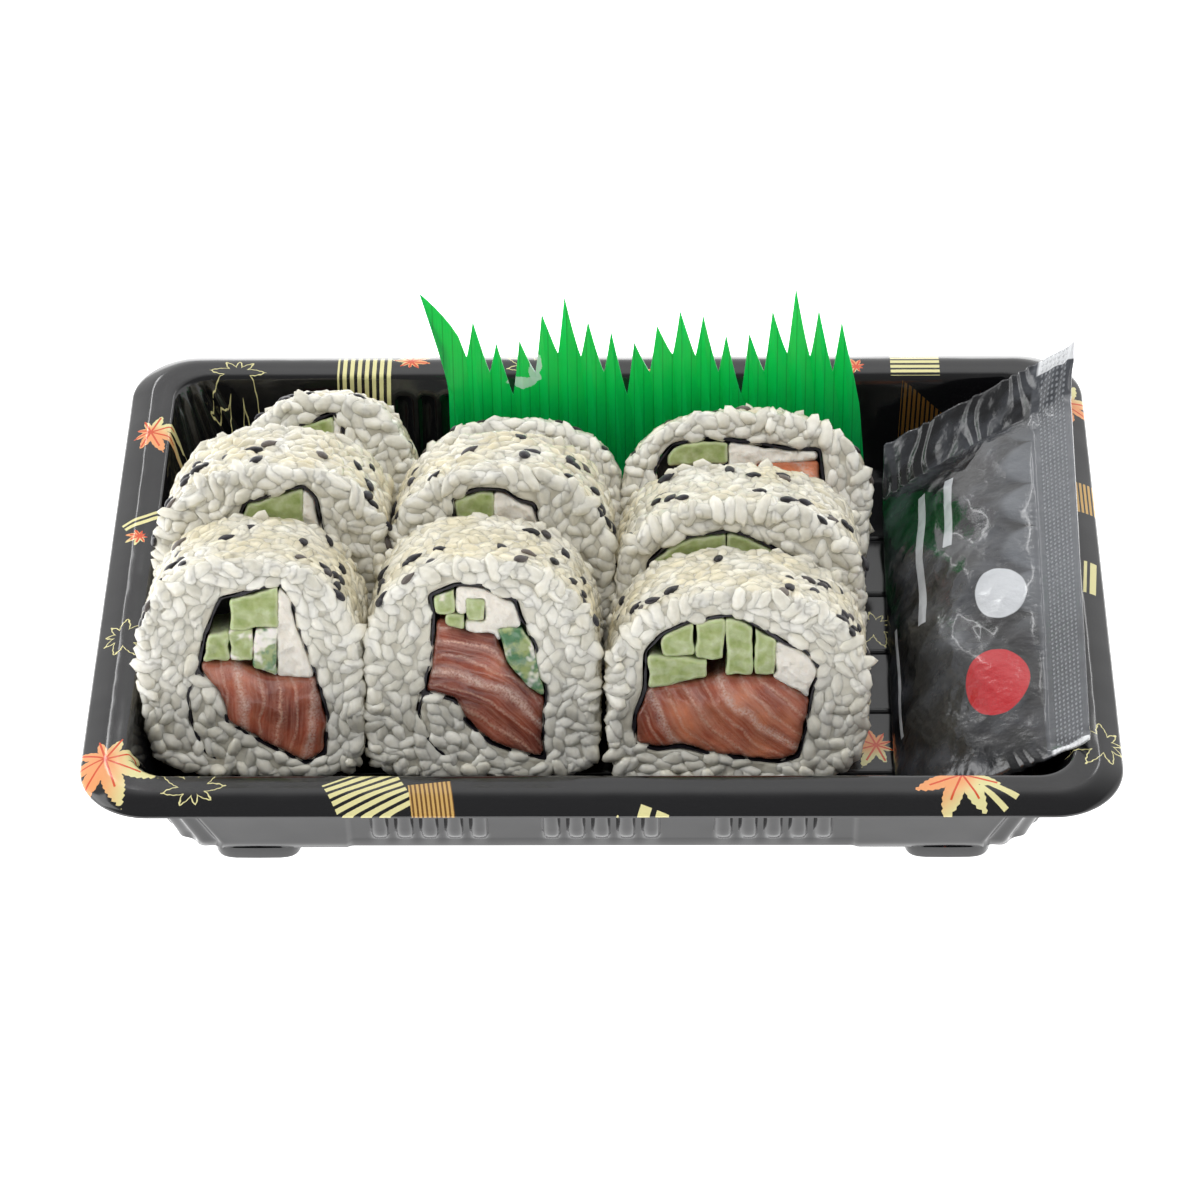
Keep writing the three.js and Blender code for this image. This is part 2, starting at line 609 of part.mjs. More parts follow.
// The group of one roll's pieces, in the frame of its front face: +Y up the face, +Z out of it.
function rollGroup(roll, index) {
  const random = draw(71 + index);
  const filling = fillingOf(roll);
  const front = roll.proud ?? -GAP;
  const back = -roll.depth + GAP;
  const room = prism(grown(filling.loop, -NORI.thickness / 2 - GAP), back, front + 1);
  const cut = (outline, lift) => largest(prism(outline, back, front + lift).intersect(room));
  const keepClear = (outline) => prism(grown(outline, GAP), back - 1, front + 2);
  const cream = [filling.salmon, ...filling.cucumbers].reduce(
    (solid, outline) => solid.subtract(keepClear(outline)),
    prism(filling.cream, back, front - UNEVEN).intersect(room),
  );
  const group = new THREE.Group();
  const add = (kind, solid, material, suffix = "") =>
    group.add(piece(kind + "_" + roll.name + suffix, geometryOf(solid), material));
  add("rice", rice(roll, filling, random), MATERIALS.rice);
  add("nori", nori(roll, filling), MATERIALS.nori);
  add("salmon", cut(filling.salmon, 0), MATERIALS.salmon);
  add("cream_cheese", largest(cream), MATERIALS.cream);
  filling.cucumbers.forEach((outline, i) => {
    add("cucumber", cut(outline, -UNEVEN * random()), MATERIALS.cucumber, "_" + (i + 1));
  });
  const lean = THREE.MathUtils.degToRad(roll.lean);
  group.position.set(roll.x, roll.footY + (roll.height / 2) * Math.sin(lean), faceHeight(roll));
  group.rotation.x = Math.PI / 2 - lean;
  return group;
}

// ---- The grass divider ----

function divider() {
  const { blade, firstTip, tips, valleys, valleyAt, thickness } = DIVIDER;
  const tops = [[DIVIDER.left, mix(tips[0], DIVIDER.body, 0.5)]];
  tips.forEach((tip, i) => {
    if (i > 0) tops.push([firstTip + (i - 1 + valleyAt) * blade, valleys[(i - 1) % valleys.length]]);
    tops.push([firstTip + i * blade + (i === 0 ? DIVIDER.bend : 0), tip]);
  });
  tops.push([DIVIDER.right - DIVIDER.endIn, DIVIDER.endHeight]);
  const last = tops.length - 1;
  const footX = (i) => mix(DIVIDER.left, DIVIDER.right, i / last);
  const bodyX = (i) => mix(footX(i), tops[i][0], i === 1 ? 0.1 : 0.5);
  const surface = (side) => {
    const at = (i, x, z) => {
      const wave = DIVIDER.pleat * (i % 2 ? 1 : -1);
      return [x, DIVIDER.y + DIVIDER.lean * (z - REST) + wave + (side * thickness) / 2, z];
    };
    return [
      tops.map((_, i) => at(i, footX(i), REST)),
      tops.map((_, i) => at(i, bodyX(i), DIVIDER.body)),
      tops.map(([x, z], i) => at(i, x, z)),
    ];
  };
  return piece("grass_divider", sheet(surface(-1), surface(1)), MATERIALS.divider);
}

// ---- The soy sauce sachet ----

// A point on an edge of the sachet, from its front end to the crease and on up the folded seal.
function edgePoint([front, crease, end], share) {
  const folded = share > SACHET.crease;
  const [from, to] = folded ? [crease, end] : [front, crease];
  const part = folded ? (share - SACHET.crease) / (1 - SACHET.crease) : share / SACHET.crease;
  return from.map((value, k) => mix(value, to[k], part));
}

function sachet() {
  const { across, along, seal, crease } = SACHET;
  const [turnAcross, turnAlong] = SACHET.wrinkleTurn;
  const rows = Array.from({ length: along }, (_, j) =>
    j === along - 1 ? 1 : (crease * j) / (along - 2),
  );
  const surface = (bulge, lift) =>
    rows.map((v, j) =>
      Array.from({ length: across }, (_, i) => {
        const u = i / (across - 1);
        const [left, right] = [edgePoint(SACHET.leftEdge, v), edgePoint(SACHET.rightEdge, v)];
        const middle = left.map((value, k) => mix(value, right[k], u));
        const slope = Math.atan2(right[2] - left[2], right[0] - left[0]);
        const full =
          Math.sin(Math.PI * Math.min(u / (1 - seal), 1)) ** SACHET.fullAcross *
          Math.sin(Math.PI * Math.min(v / crease, 1)) ** SACHET.fullAlong;
        const wave = bulge > 0 ? SACHET.wrinkle * Math.sin(turnAlong * j + turnAcross * i) : 0;
        const out = (bulge + wave) * full + lift;
        return [middle[0] - out * Math.sin(slope), middle[1], middle[2] + out * Math.cos(slope)];
      }),
    );
  const top = surface(SACHET.top, SACHET.film / 2);
  const under = surface(-SACHET.under, -SACHET.film / 2);
  return piece("soy_sachet", sheet(top, under), MATERIALS.sachet);
}

// ---- The whole ----

const sushiTray = new THREE.Group();
sushiTray.add(tray(), divider(), sachet());
ROLLS.forEach((roll, index) => sushiTray.add(rollGroup(roll, index)));

export default sushiTray;
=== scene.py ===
import math
from functools import partial

import bmesh
import bpy
import numpy as np
from mathutils import Matrix, Vector, noise
from mathutils.bvhtree import BVHTree
from mathutils.geometry import delaunay_2d_cdt


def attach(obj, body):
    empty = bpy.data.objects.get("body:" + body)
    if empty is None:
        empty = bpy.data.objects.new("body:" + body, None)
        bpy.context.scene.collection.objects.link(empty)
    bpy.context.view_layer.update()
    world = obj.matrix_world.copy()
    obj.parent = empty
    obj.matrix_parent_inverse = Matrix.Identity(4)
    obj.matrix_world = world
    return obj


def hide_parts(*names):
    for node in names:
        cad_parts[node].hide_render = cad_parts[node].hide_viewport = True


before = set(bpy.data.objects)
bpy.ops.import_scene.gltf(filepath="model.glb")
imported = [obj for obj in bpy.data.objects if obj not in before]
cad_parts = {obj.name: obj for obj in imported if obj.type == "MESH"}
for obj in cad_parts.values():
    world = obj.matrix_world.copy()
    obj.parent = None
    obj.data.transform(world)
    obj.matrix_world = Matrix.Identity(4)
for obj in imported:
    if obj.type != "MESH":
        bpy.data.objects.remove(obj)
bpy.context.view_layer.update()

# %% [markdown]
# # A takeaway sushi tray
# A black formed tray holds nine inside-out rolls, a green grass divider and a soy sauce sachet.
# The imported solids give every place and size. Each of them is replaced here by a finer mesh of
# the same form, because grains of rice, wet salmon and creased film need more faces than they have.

MM = 0.001

# %% [markdown]
# ## The camera
# The tray is seen from above its front edge, from far away with a long lens, so its sides nearly
# run parallel. The camera is placed by its aim, its distance and three angles, which is easier
# to read than a matrix of numbers.

# %% Camera
AIM = Vector((-0.59, -9.98, 25.0)) * MM
DISTANCE = 851 * MM
PITCH, YAW, ROLL = (math.radians(angle) for angle in (40.83, 1.178, -0.882))

camera_data = bpy.data.cameras.new("camera")
camera_data.sensor_width, camera_data.lens = 36, 138
camera = bpy.data.objects.new("camera", camera_data)
bpy.context.scene.collection.objects.link(camera)
back = Vector(
    (math.sin(YAW) * math.cos(PITCH), -math.cos(YAW) * math.cos(PITCH), math.sin(PITCH))
)
aside = (-back).cross(Vector((0, 0, 1))).normalized()
upright = aside.cross(-back)
right = math.cos(ROLL) * aside + math.sin(ROLL) * upright
up = math.cos(ROLL) * upright - math.sin(ROLL) * aside
camera.matrix_world = Matrix.Translation(AIM + DISTANCE * back) @ Matrix(
    (right, up, back)
).transposed().to_4x4()
bpy.context.scene.camera = camera
print("camera at", [round(c, 3) for c in camera.matrix_world.translation])

# %% [markdown]
# ## The light
# Food like this is shown in a white tent: light comes from everywhere, a little more from above
# and behind. A bright world fills the shadows, and two large softboxes give the rice its shape.
# The two narrow strips behind are there for the gloss: they draw thin bright lines along the
# rounded lip of the tray and sharp glints on the creased film.

# %% Light and floor
def linear(code):
    """The linear colour of an sRGB hex code, with full alpha."""
    parts = [int(code[i : i + 2], 16) / 255 for i in (1, 3, 5)]
    return [p / 12.92 if p <= 0.04045 else ((p + 0.055) / 1.055) ** 2.4 for p in parts] + [1.0]


def area_light(name, place, aim, size, watts):
    data = bpy.data.lights.new(name, "AREA")
    data.shape = "RECTANGLE"
    data.size, data.size_y = size
    data.energy = watts
    light = bpy.data.objects.new(name, data)
    bpy.context.scene.collection.objects.link(light)
    light.location = place
    light.rotation_euler = (Vector(aim) - Vector(place)).to_track_quat("-Z", "Y").to_euler()
    return light


FRONT_TENT, BACK_TENT, SIDE_TENT = 0.24, 1.0, 1.1
scene = bpy.context.scene
scene.view_settings.view_transform = "Standard"
world = bpy.data.worlds.new("white_tent")
world.use_nodes = True
background = world.node_tree.nodes["Background"]
background.inputs["Color"].default_value = linear("#ffffff")
scene.world = world
top = area_light("top_softbox", (0.05, 0.0, 0.85), (0, 0, 0.02), (0.9, 0.5), 4.2)
top.visible_glossy = False  # it lights the rice, and the tent alone is mirrored in the plastic
area_light("left_softbox", (-0.75, -0.1, 0.45), (0, 0, 0.02), (0.5, 0.7), 2.4)
for name, side in (("left_strip", -1), ("right_strip", 1)):
    area_light(name, (0.29 * side, 0.72, 0.56), (0, 0, 0.02), (0.03, 0.4), 0.3)

# %% [markdown]
# ## Small helpers
# One function adds a node to any tree, for materials and for geometry. Its mode, such as the
# operation of a Math node, stands behind its kind, which keeps long chains of nodes readable.
# The others make a material, end it with its colour and relief, or make an empty group.

# %% Node helpers
MODES = ("operation", "interpolation_type", "feature", "data_type")


def add(tree, kind, *values, **more):
    """A node of a kind, which may end in its mode. The values go to its open sockets in order or
    by name, with _ for a space, and small letters name a setting. A value is a number, a colour
    code, or a node or socket to link."""
    kind, *mode = kind.split()
    node = tree.nodes.new(kind if "Node" in kind else "ShaderNode" + kind)
    for key in [key for key in more if key.islower()]:
        setattr(node, key, more.pop(key))
    if mode:
        setattr(node, next(key for key in MODES if hasattr(node, key)), mode[0])
    sockets = [socket for socket in node.inputs if socket.enabled]
    names = {socket.name.replace(" ", "_"): socket for socket in sockets}
    for socket, value in [*zip(sockets, values), *((names[key], more[key]) for key in more)]:
        if isinstance(value, bpy.types.Node):
            value = next(output for output in value.outputs if output.enabled)
        if isinstance(value, bpy.types.NodeSocket):
            tree.links.new(value, socket)
        else:
            coded = isinstance(value, str) and value.startswith("#")
            socket.default_value = linear(value) if coded else value
    return node


def material(name, **values):
    """A new material and what adds nodes to it. The plain sockets of its shader take the values."""
    made = bpy.data.materials.new(name)
    made.use_nodes = True
    shader = made.node_tree.nodes["Principled BSDF"]
    for key, value in values.items():
        shader.inputs[key.replace("_", " ")].default_value = value
    return made, partial(add, made.node_tree)


def dressed(made, tone, relief, strength, distance):
    """The material with its colour and its fine relief, whose depth is in metres."""
    tree = made.node_tree
    bump = add(tree, "Bump", Strength=strength, Distance=distance, Height=relief)
    for node, name in ((tone, "Base Color"), (bump, "Normal")):
        output = next(output for output in node.outputs if output.enabled)
        tree.links.new(output, tree.nodes["Principled BSDF"].inputs[name])
    return made


SOCKETS = {"Geometry": "Geometry", "Seed": "Int", "Finish": "Material"} | dict.fromkeys(
    ("Place", "Middle", "Half"), "Vector"
)


def group(name, kind, inputs, outputs):
    """An empty node group: its tree, what adds nodes to it, and its inputs."""
    tree = bpy.data.node_groups.new(name, kind + "NodeTree")
    for way, keys in (("INPUT", inputs), ("OUTPUT", outputs)):
        for key in keys.split():
            socket = "NodeSocket" + SOCKETS.get(key, "Float")
            tree.interface.new_socket(key, in_out=way, socket_type=socket)
    new = partial(add, tree)
    return tree, new, new("NodeGroupInput").outputs


def coloured(ramp, first, last, *between):
    """A colour ramp with its stops: a place from 0 to 1 and a hex colour for each."""
    stops = ramp.color_ramp.elements
    for stop, (position, code) in zip(stops, (first, last)):
        stop.position, stop.color = position, linear(code)
    for position, code in between:
        stops.new(position).color = linear(code)
    return ramp


def millimetres(new):
    """The place on the object in millimetres, for patterns of a true size."""
    return new("VectorMath SCALE", new("TexCoord").outputs["Object"], 1 / MM)


print("node helpers ready, with the modes", MODES)

# %% [markdown]
# All meshes are made from arrays of points in millimetres, in the same frame as the solids. The
# smaller helpers work on such arrays, and the bodies they make are lists of points and faces.

# %% Mesh helpers
def mesh_object(name, points, faces, finish=None, **attributes):
    """An object at the origin from points in millimetres, smooth, with values on its points."""
    mesh = bpy.data.meshes.new(name)
    mesh.from_pydata((np.asarray(points) * MM).tolist(), [], [list(map(int, f)) for f in faces])
    for key, values in attributes.items():
        values = np.asarray(values, np.float32)
        kind, field = ("FLOAT", "value") if values.ndim == 1 else ("FLOAT_VECTOR", "vector")
        mesh.attributes.new(key, kind, "POINT").data.foreach_set(field, values.ravel())
    mesh.polygons.foreach_set("use_smooth", [True] * len(mesh.polygons))
    made = bpy.data.objects.new(name, mesh)
    bpy.context.scene.collection.objects.link(made)
    if finish:
        mesh.materials.append(finish)
    return made


def settled(made):
    """Turns an object's modifiers into its plain mesh."""
    graph = bpy.context.evaluated_depsgraph_get()
    mesh = bpy.data.meshes.new_from_object(made.evaluated_get(graph))
    made.modifiers.clear()
    made.data = mesh
    return made


def facing_out(made):
    """Welds points that coincide and turns all faces outwards."""
    mesh = bmesh.new()
    mesh.from_mesh(made.data)
    bmesh.ops.remove_doubles(mesh, verts=mesh.verts, dist=1e-7)
    bmesh.ops.recalc_face_normals(mesh, faces=mesh.faces)
    mesh.to_mesh(made.data)
    mesh.free()
    return made


def smooth(made, sharp):
    """Smooth faces, with sharp edges where they turn by more than this angle in degrees."""
    made.data.polygons.foreach_set("use_smooth", [True] * len(made.data.polygons))
    made.data.set_sharp_from_angle(angle=math.radians(sharp))
    return made


def finished(made, node):
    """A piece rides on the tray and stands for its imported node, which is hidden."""
    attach(made, "root")
    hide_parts(node)
    return made


def band(first, second, count):
    """Faces between two closed rings of points that start at these places in the list."""
    near = np.arange(count)
    far = (near + 1) % count
    return np.stack([first + near, first + far, second + far, second + near], 1).tolist()


def level(flat, z):
    """Flat points set at a height or a depth."""
    return np.column_stack([flat, np.full(len(flat), z)])


def merged(bodies):
    """Several bodies of points and faces as one."""
    points, faces, start = [], [], 0
    for body_points, body_faces in bodies:
        points.append(body_points)
        faces += [[start + corner for corner in face] for face in body_faces]
        start += len(body_points)
    return np.concatenate(points), faces


def walls(rows, way=1):
    """Closed rings of points, and the faces between each and the next."""
    size = len(rows[0])
    pairs = [(i, i + 1)[::way] for i in range(len(rows) - 1)]
    return np.concatenate(rows), [f for a, b in pairs for f in band(a * size, b * size, size)]


def closed(rows, way=1):
    """A closed body from rings of points."""
    size, (points, sides) = len(rows[0]), walls(rows)
    caps = [list(range(size))[::-way], list(range(len(points) - size, len(points)))[::way]]
    return points, sides + caps


def squarish(angle, power):
    """Both sides of a rounded square of half size 1. With a power of 2 it is a circle."""
    return [np.sign(f) * np.abs(f) ** (2 / power) for f in (np.cos(angle), np.sin(angle))]


def unit(ways):
    """The same directions, each of length 1."""
    return ways / np.linalg.norm(ways, axis=1)[:, None]


def mix(a, b, share):
    return a + (b - a) * share


def ramp(value, low, high):
    """0 below low, 1 above high and smooth between them."""
    t = np.clip((value - low) / (high - low), 0, 1)
    return t * t * (3 - 2 * t)


def wobble(points, size, seed=0.0):
    """Smooth noise from -1 to 1 at each point, with bumps of about this size."""
    return np.array([noise.noise(Vector(p) / size + Vector((seed, 0, 0))) for p in points])


def shaken(points, far, size, *seeds):
    """Sideways shifts of up to this far."""
    return far * np.column_stack([wobble(points, size, seed) for seed in seeds])


print("mesh helpers ready, a ring of four has the faces", band(0, 4, 4))

# %% [markdown]
# The tent is dimmer on the side of the camera than behind the tray. So the black plastic shows
# dark bands where it leans forward and pale ones where it looks up, by which its form is read.
# Both sides are bright too, and draw thin pale lines along the rounded lip.

# %% Tent
new = partial(add, world.node_tree)
x, y, _ = new("SeparateXYZ", new("TexCoord").outputs["Generated"]).outputs
brightness = new(
    "Math MAXIMUM", new("MapRange SMOOTHSTEP", y, 0.05, 0.75, FRONT_TENT, BACK_TENT),
    new("MapRange SMOOTHSTEP", new("Math ABSOLUTE", x), 0.6, 0.85, To_Max=SIDE_TENT),
)
world.node_tree.links.new(brightness.outputs[0], background.inputs["Strength"])
print("tent from", FRONT_TENT, "to", BACK_TENT, "and", SIDE_TENT, "at its sides")

# %% [markdown]
# ## The tray
# The real tray is one sheet of black polystyrene, heated and sucked into a mould: that gives its
# even wall, its rounded lip and the upright flutes that stiffen the walls. It could be a box with
# bevels, but the flutes, the recessed panels and the pleated corners all follow from a ring that
# runs round the tray. So one ring is worked out as a function of inset and height, and rings are
# stacked along the section of the lip, the wall and the floor.

# %% Sizes of the tray
LENGTH, WIDTH, RIM = 186, 132, 25
BASE, FLOOR = 2.4, 3.2
WALL_TOP, WALL_FOOT, WALL = 8.9, 13.9, 1.0
LONG_PANEL, SHORT_PANEL, PANEL_SLOPE, RECESS = 45, 16, 1.4, 1.0
PLEAT, PLEATS = 0.55, 4
FLUTE_WIDTH, FLUTE_PROUD, FLUTE_PITCH = 3.1, 1.3, 4.5
FLUTE_GROUPS = {"long": (-31, 0, 31), "short": (0,)}
CORNER_STEPS = 48
STEP = 0.5


def wall_inset(z):
    return mix(WALL_TOP, WALL_FOOT, (RIM - z) / (RIM - FLOOR))


def side_depth(along, end, groups, z, flutes):
    """How far a straight wall stands back at a place along it: panels less their flutes."""
    depth = RECESS * ramp(end + PANEL_SLOPE - np.abs(along), 0, PANEL_SLOPE)
    for middle in groups:
        for i in range(-2, 3):
            across = (along - middle - i * FLUTE_PITCH) / (FLUTE_WIDTH / 2)
            round_top = np.sqrt(np.clip(1 - across**2, 0, 1))
            height = FLUTE_PROUD * ramp(z, 4.2, 7.5) * (1 - ramp(z, 20.2, 22))
            depth = depth - flutes * height * round_top
    return depth


def tray_ring(inset, z, corner, shaped=0.0, flutes=0.0):
    """One closed ring of the tray. shaped turns on panels and pleats, flutes the flutes."""
    half = np.array([LENGTH / 2 - inset, WIDTH / 2 - inset])
    turns = np.arange(CORNER_STEPS + 1) / CORNER_STEPS
    pleat = shaped * PLEAT * np.cos(2 * np.pi * PLEATS * turns) * ramp(
        np.minimum(turns, 1 - turns), 0, 0.1
    )
    points = []
    for quarter, (sx, sy) in enumerate(((1, 1), (-1, 1), (-1, -1), (1, -1))):
        angle = (quarter + turns) * math.pi / 2
        middle = (half - corner) * (sx, sy)
        radius = corner + pleat
        points.append(
            np.stack([middle[0] + radius * np.cos(angle), middle[1] + radius * np.sin(angle)], 1)
        )
        long_side = quarter % 2 == 0
        end = LONG_PANEL if long_side else SHORT_PANEL
        reach = half[0 if long_side else 1] - corner
        panel = np.arange(-end - PANEL_SLOPE, end + PANEL_SLOPE + STEP / 2, STEP)
        outer = np.linspace(-reach, panel[0], 9)[1:-1]
        along = np.concatenate([outer, panel, -outer[::-1]])
        groups = FLUTE_GROUPS["long" if long_side else "short"]
        depth = shaped * side_depth(along, end, groups, z, flutes)
        across = half[1 if long_side else 0] - depth
        side = np.stack([-along, across], 1)
        for _ in range(quarter):  # a quarter turn each time
            side = np.stack([-side[:, 1], side[:, 0]], 1)
        points.append(side)
    return level(np.concatenate(points), z)


print("points in a ring:", len(tray_ring(0, RIM, 13)))

# %% [markdown]
# The section starts under the lip, goes over the rounded rim, down the inner wall to the floor
# and back up the outside. The flutes stand out of the outer wall and leave grooves inside, as the
# thin sheet follows the mould on both sides.

# %% The shell
LIP = [  # inset, height, plan radius of the corners
    (2.4, 22.6, 11), (1.2, 22.55, 12), (0.25, 22.55, 12.8), (0.03, 22.62, 13), (0, 22.85, 13),
    (0.1, 23.15, 12.9), (0.45, 23.45, 12.6), (1.0, 23.75, 12.1), (1.7, 24.1, 11.5),
    (2.5, 24.45, 10.8), (3.3, 24.75, 10.1), (3.9, 24.92, 9.6), (4.5, 24.99, 9.1), (5.5, 24.97, 8.6),
    (6.6, 24.97, 8), (7.7, 25, 7.4), (8.35, 24.93, 7.1), (8.75, 24.65, 7), (8.95, 24.2, 7),
]
LEVELS = np.array([22.8, 22, 21.4, 20.8, 20.2, 18, 15, 12, 9, 7.5, 6.7, 5.9, 5.2, 4.6])


def wall_rings(offset, corner_grow, flutes):
    rings = []
    for z in LEVELS:
        share = (RIM - z) / (RIM - FLOOR)
        corner = mix(7, 12, share) + corner_grow
        shaped = float(ramp(share, 0.02, 0.2))
        rings.append(tray_ring(wall_inset(z) - offset, z, corner, shaped, flutes))
    return rings


inner = wall_rings(0, 0, 0.55)
outer = wall_rings(WALL, 1, 1.0)[::-1]
rings = [tray_ring(*row) for row in LIP] + inner
rings += [
    tray_ring(14.35, 3.85, 11.6, 0.6), tray_ring(14.9, 3.4, 11.3, 0.3), tray_ring(15.7, FLOOR, 11),
    tray_ring(14.6, BASE, 11), tray_ring(13.7, 2.5, 11.5, 0.3), tray_ring(13.05, 3.0, 12, 0.6),
]
floor_ring = len(rings) - 4
rings += outer + [tray_ring(7.9, 23.7, 8), tray_ring(3.8, 23.8, 9.6), tray_ring(3.0, 23.3, 10.4)]
count = len(rings[0])
faces = []
for i in range(len(rings)):
    if i != floor_ring:
        faces += band(i * count, (i + 1) % len(rings) * count, count)
faces.append(list(range(floor_ring * count, (floor_ring + 1) * count)))
faces.append(list(range((floor_ring + 1) * count, (floor_ring + 2) * count))[::-1])
tray = facing_out(mesh_object("formed_tray", np.concatenate(rings), faces))
print("shell:", len(rings), "rings,", len(tray.data.polygons), "faces")

# %% [markdown]
# Feet, floor ribs and the hollows over the feet are closed bodies of their own, joined with the
# shell by Boolean modifiers. The Manifold solver is quick and keeps the result closed.

# %% Feet and ribs
def pad_outline(x, y, size, power=5, count=32):
    """A square pad with rounded corners."""
    across, along = squarish(np.arange(count) * 2 * np.pi / count, power)
    return np.stack([x + across * size / 2, y + along * size / 2], 1)


def pads(x, y, rows):
    """Four pads, one near each corner, from sizes and heights."""
    return [
        closed([level(pad_outline(sx * x, sy * y, size), z) for size, z in rows])
        for sx in (-1, 1) for sy in (-1, 1)
    ]


RIBS = [(i - 2) * 16.7 for i in range(5)]
rib_angle = np.linspace(0, np.pi, 9)
rib_section = np.column_stack([0.6 * np.cos(rib_angle), 3.15 + 0.55 * np.sin(rib_angle)])


def rib(y):
    """A low rib along the floor, which runs out at its ends: place and share of its height."""
    ends = [(-74, 0.2), (-73.5, 0.8), (-72.5, 1), (72.5, 1), (73.5, 0.8), (74, 0.2)]
    x, z = np.full(len(rib_section), 1), rib_section[:, 1]
    rows = [np.column_stack([x * at, y + rib_section[:, 0], mix(3.1, z, s)]) for at, s in ends]
    return closed(rows, -1)


FOOT_PLACE, STEP_PLACE = (62.5, 45), (50.5, 45.5)
FEET = [(14.8, 0), (15.6, 0.2), (15.95, 0.7), (16.05, 2.9)]  # size and height of each outline
STEPS = [(9, 1.2), (9.8, 1.4), (10.2, 1.8), (12, 2.9)]
HOLLOWS = [(13, 0.8), (14, 1.1), (15.2, 3.15), (16.2, 4.7)]
operands = []
for name, operation, bodies in (
    ("feet_and_ribs", "UNION", pads(*FOOT_PLACE, FEET) + [rib(y) for y in RIBS]),
    ("steps", "UNION", pads(*STEP_PLACE, STEPS)),
    ("hollows", "DIFFERENCE", pads(*FOOT_PLACE, HOLLOWS)),
):
    operand = facing_out(mesh_object(name, *merged(bodies)))
    modifier = tray.modifiers.new(name, "BOOLEAN")
    modifier.operation, modifier.solver, modifier.object = operation, "MANIFOLD", operand
    operands.append(operand)
settled(tray)
for operand in operands:
    bpy.data.objects.remove(operand)
smooth(tray, sharp=38)
print("tray:", len(tray.data.polygons), "faces")

# %% [markdown]
# ## The rolls
# Each roll is a slice of a long inside-out roll: rice outside, then a sheet of nori, and strips of
# salmon, cucumber and cream cheese that run through it. The slices lie tilted back in the tray.
# All shapes of a roll are worked out in the frame of its cut face and then set in the tray.

# %% Places of the rolls
GAP = 0.3
REST = 4.0  # the lowest point of the food


class Roll:
    def __init__(self, name, kind, x, foot, width, height, depth, lean, low=-99, high=99):
        self.name, self.kind, self.low, self.high = name, kind, low, high
        self.width, self.height, self.depth = width, height, depth
        self.lean = math.radians(lean)
        self.lift = REST + height / 2 * math.cos(self.lean) + depth * math.sin(self.lean)
        self.middle = np.array([x, foot + height / 2 * math.sin(self.lean), self.lift])
        self.axes = np.array(
            [[1, 0, 0], [0, math.sin(self.lean), math.cos(self.lean)],
             [0, -math.cos(self.lean), math.sin(self.lean)]]
        )
        self.front = -GAP if "back" in name or "middle_" in name else GAP

    def placed(self, points):
        """From the frame of the cut face to the frame of the tray."""
        return points @ self.axes + self.middle

    def on_face(self, points):
        return (points - self.middle) @ self.axes.T


ROLLS = [
    Roll("front_left", "tall", -63.2, -45.5, 40.5, 42, 25.7, 20, high=-43),
    Roll("front_middle", "folded", -21.5, -45.5, 42, 42, 25.6, 20, -42.6, -0.2),
    Roll("front_right", "wide", 24.5, -47, 47, 37, 24.8, 20, low=0.2),
    Roll("middle_left", "tall", -60.5, -17.2, 44, 41, 25, 20, high=-39.8),
    Roll("middle_centre", "folded", -18.8, -17, 42, 41, 23, 20, -39.4, 1.9),
    Roll("middle_right", "wide", 25, -20, 46, 36, 24, 20, low=2.3),
    Roll("back_left", "tall", -53, 10.5, 33.4, 34, 17, 36, high=-36.6),
    Roll("back_middle", "folded", -16.5, 9, 39.5, 30, 16, 40, -36.2, 3),
    Roll("back_right", "low", 26.7, 7, 47, 33, 16, 38, low=3.4),
]
print("rolls:", [roll.name for roll in ROLLS])

# %% [markdown]
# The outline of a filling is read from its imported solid: the edges that only one triangle of the
# flat cut face uses form a closed loop. A loop is then resampled evenly and its corners softened.

# %% Outlines
FEWEST_POINTS = 12


def face_loops(node, roll):
    """Closed outlines of a node's cut face, in the frame of that face, the longest first."""
    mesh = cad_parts[node].data
    points = roll.on_face(np.array([v.co for v in mesh.vertices]) / MM)
    keys, index = np.unique(points.round(3), axis=0, return_inverse=True)
    index = index.ravel()
    front = keys[:, 2].max() - 0.05
    edges = set()
    for polygon in mesh.polygons:
        corners = [int(index[v]) for v in polygon.vertices]
        if keys[corners, 2].min() > front:
            edges |= set(zip(corners, corners[1:] + corners[:1]))
    border = {a: b for a, b in edges if (b, a) not in edges}
    loops = []
    while border:
        start, at = border.popitem()
        loop = [start]
        while at != start:
            loop.append(at)
            at = border.pop(at)
        loops.append(keys[loop, :2])
    return sorted(loops, key=lambda loop: -np.ptp(loop, axis=0).sum())


def resampled(loop, spacing, softer=0):
    """The loop with even spacing, softened as many times as softer says."""
    ring = np.vstack([loop, loop[:1]])
    run = np.concatenate([[0], np.cumsum(np.hypot(*np.diff(ring, axis=0).T))])
    stops = np.arange(max(FEWEST_POINTS, round(run[-1] / spacing)))
    stops = stops * run[-1] / len(stops)
    even = np.column_stack([np.interp(stops, run, ring[:, k]) for k in (0, 1)])
    for _ in range(softer):
        even = (np.roll(even, 1, 0) + 2 * even + np.roll(even, -1, 0)) / 4
    return even


def tangents(loop):
    return unit(np.roll(loop, -1, 0) - np.roll(loop, 1, 0))


def outward(loop):
    """Unit normals of a loop, away from its inside."""
    ahead = tangents(loop)
    (x, y), (next_x, next_y) = loop.T, np.roll(loop, -1, 0).T
    turn = np.sign(np.sum(x * next_y - next_x * y))
    return turn * np.column_stack([ahead[:, 1], -ahead[:, 0]])


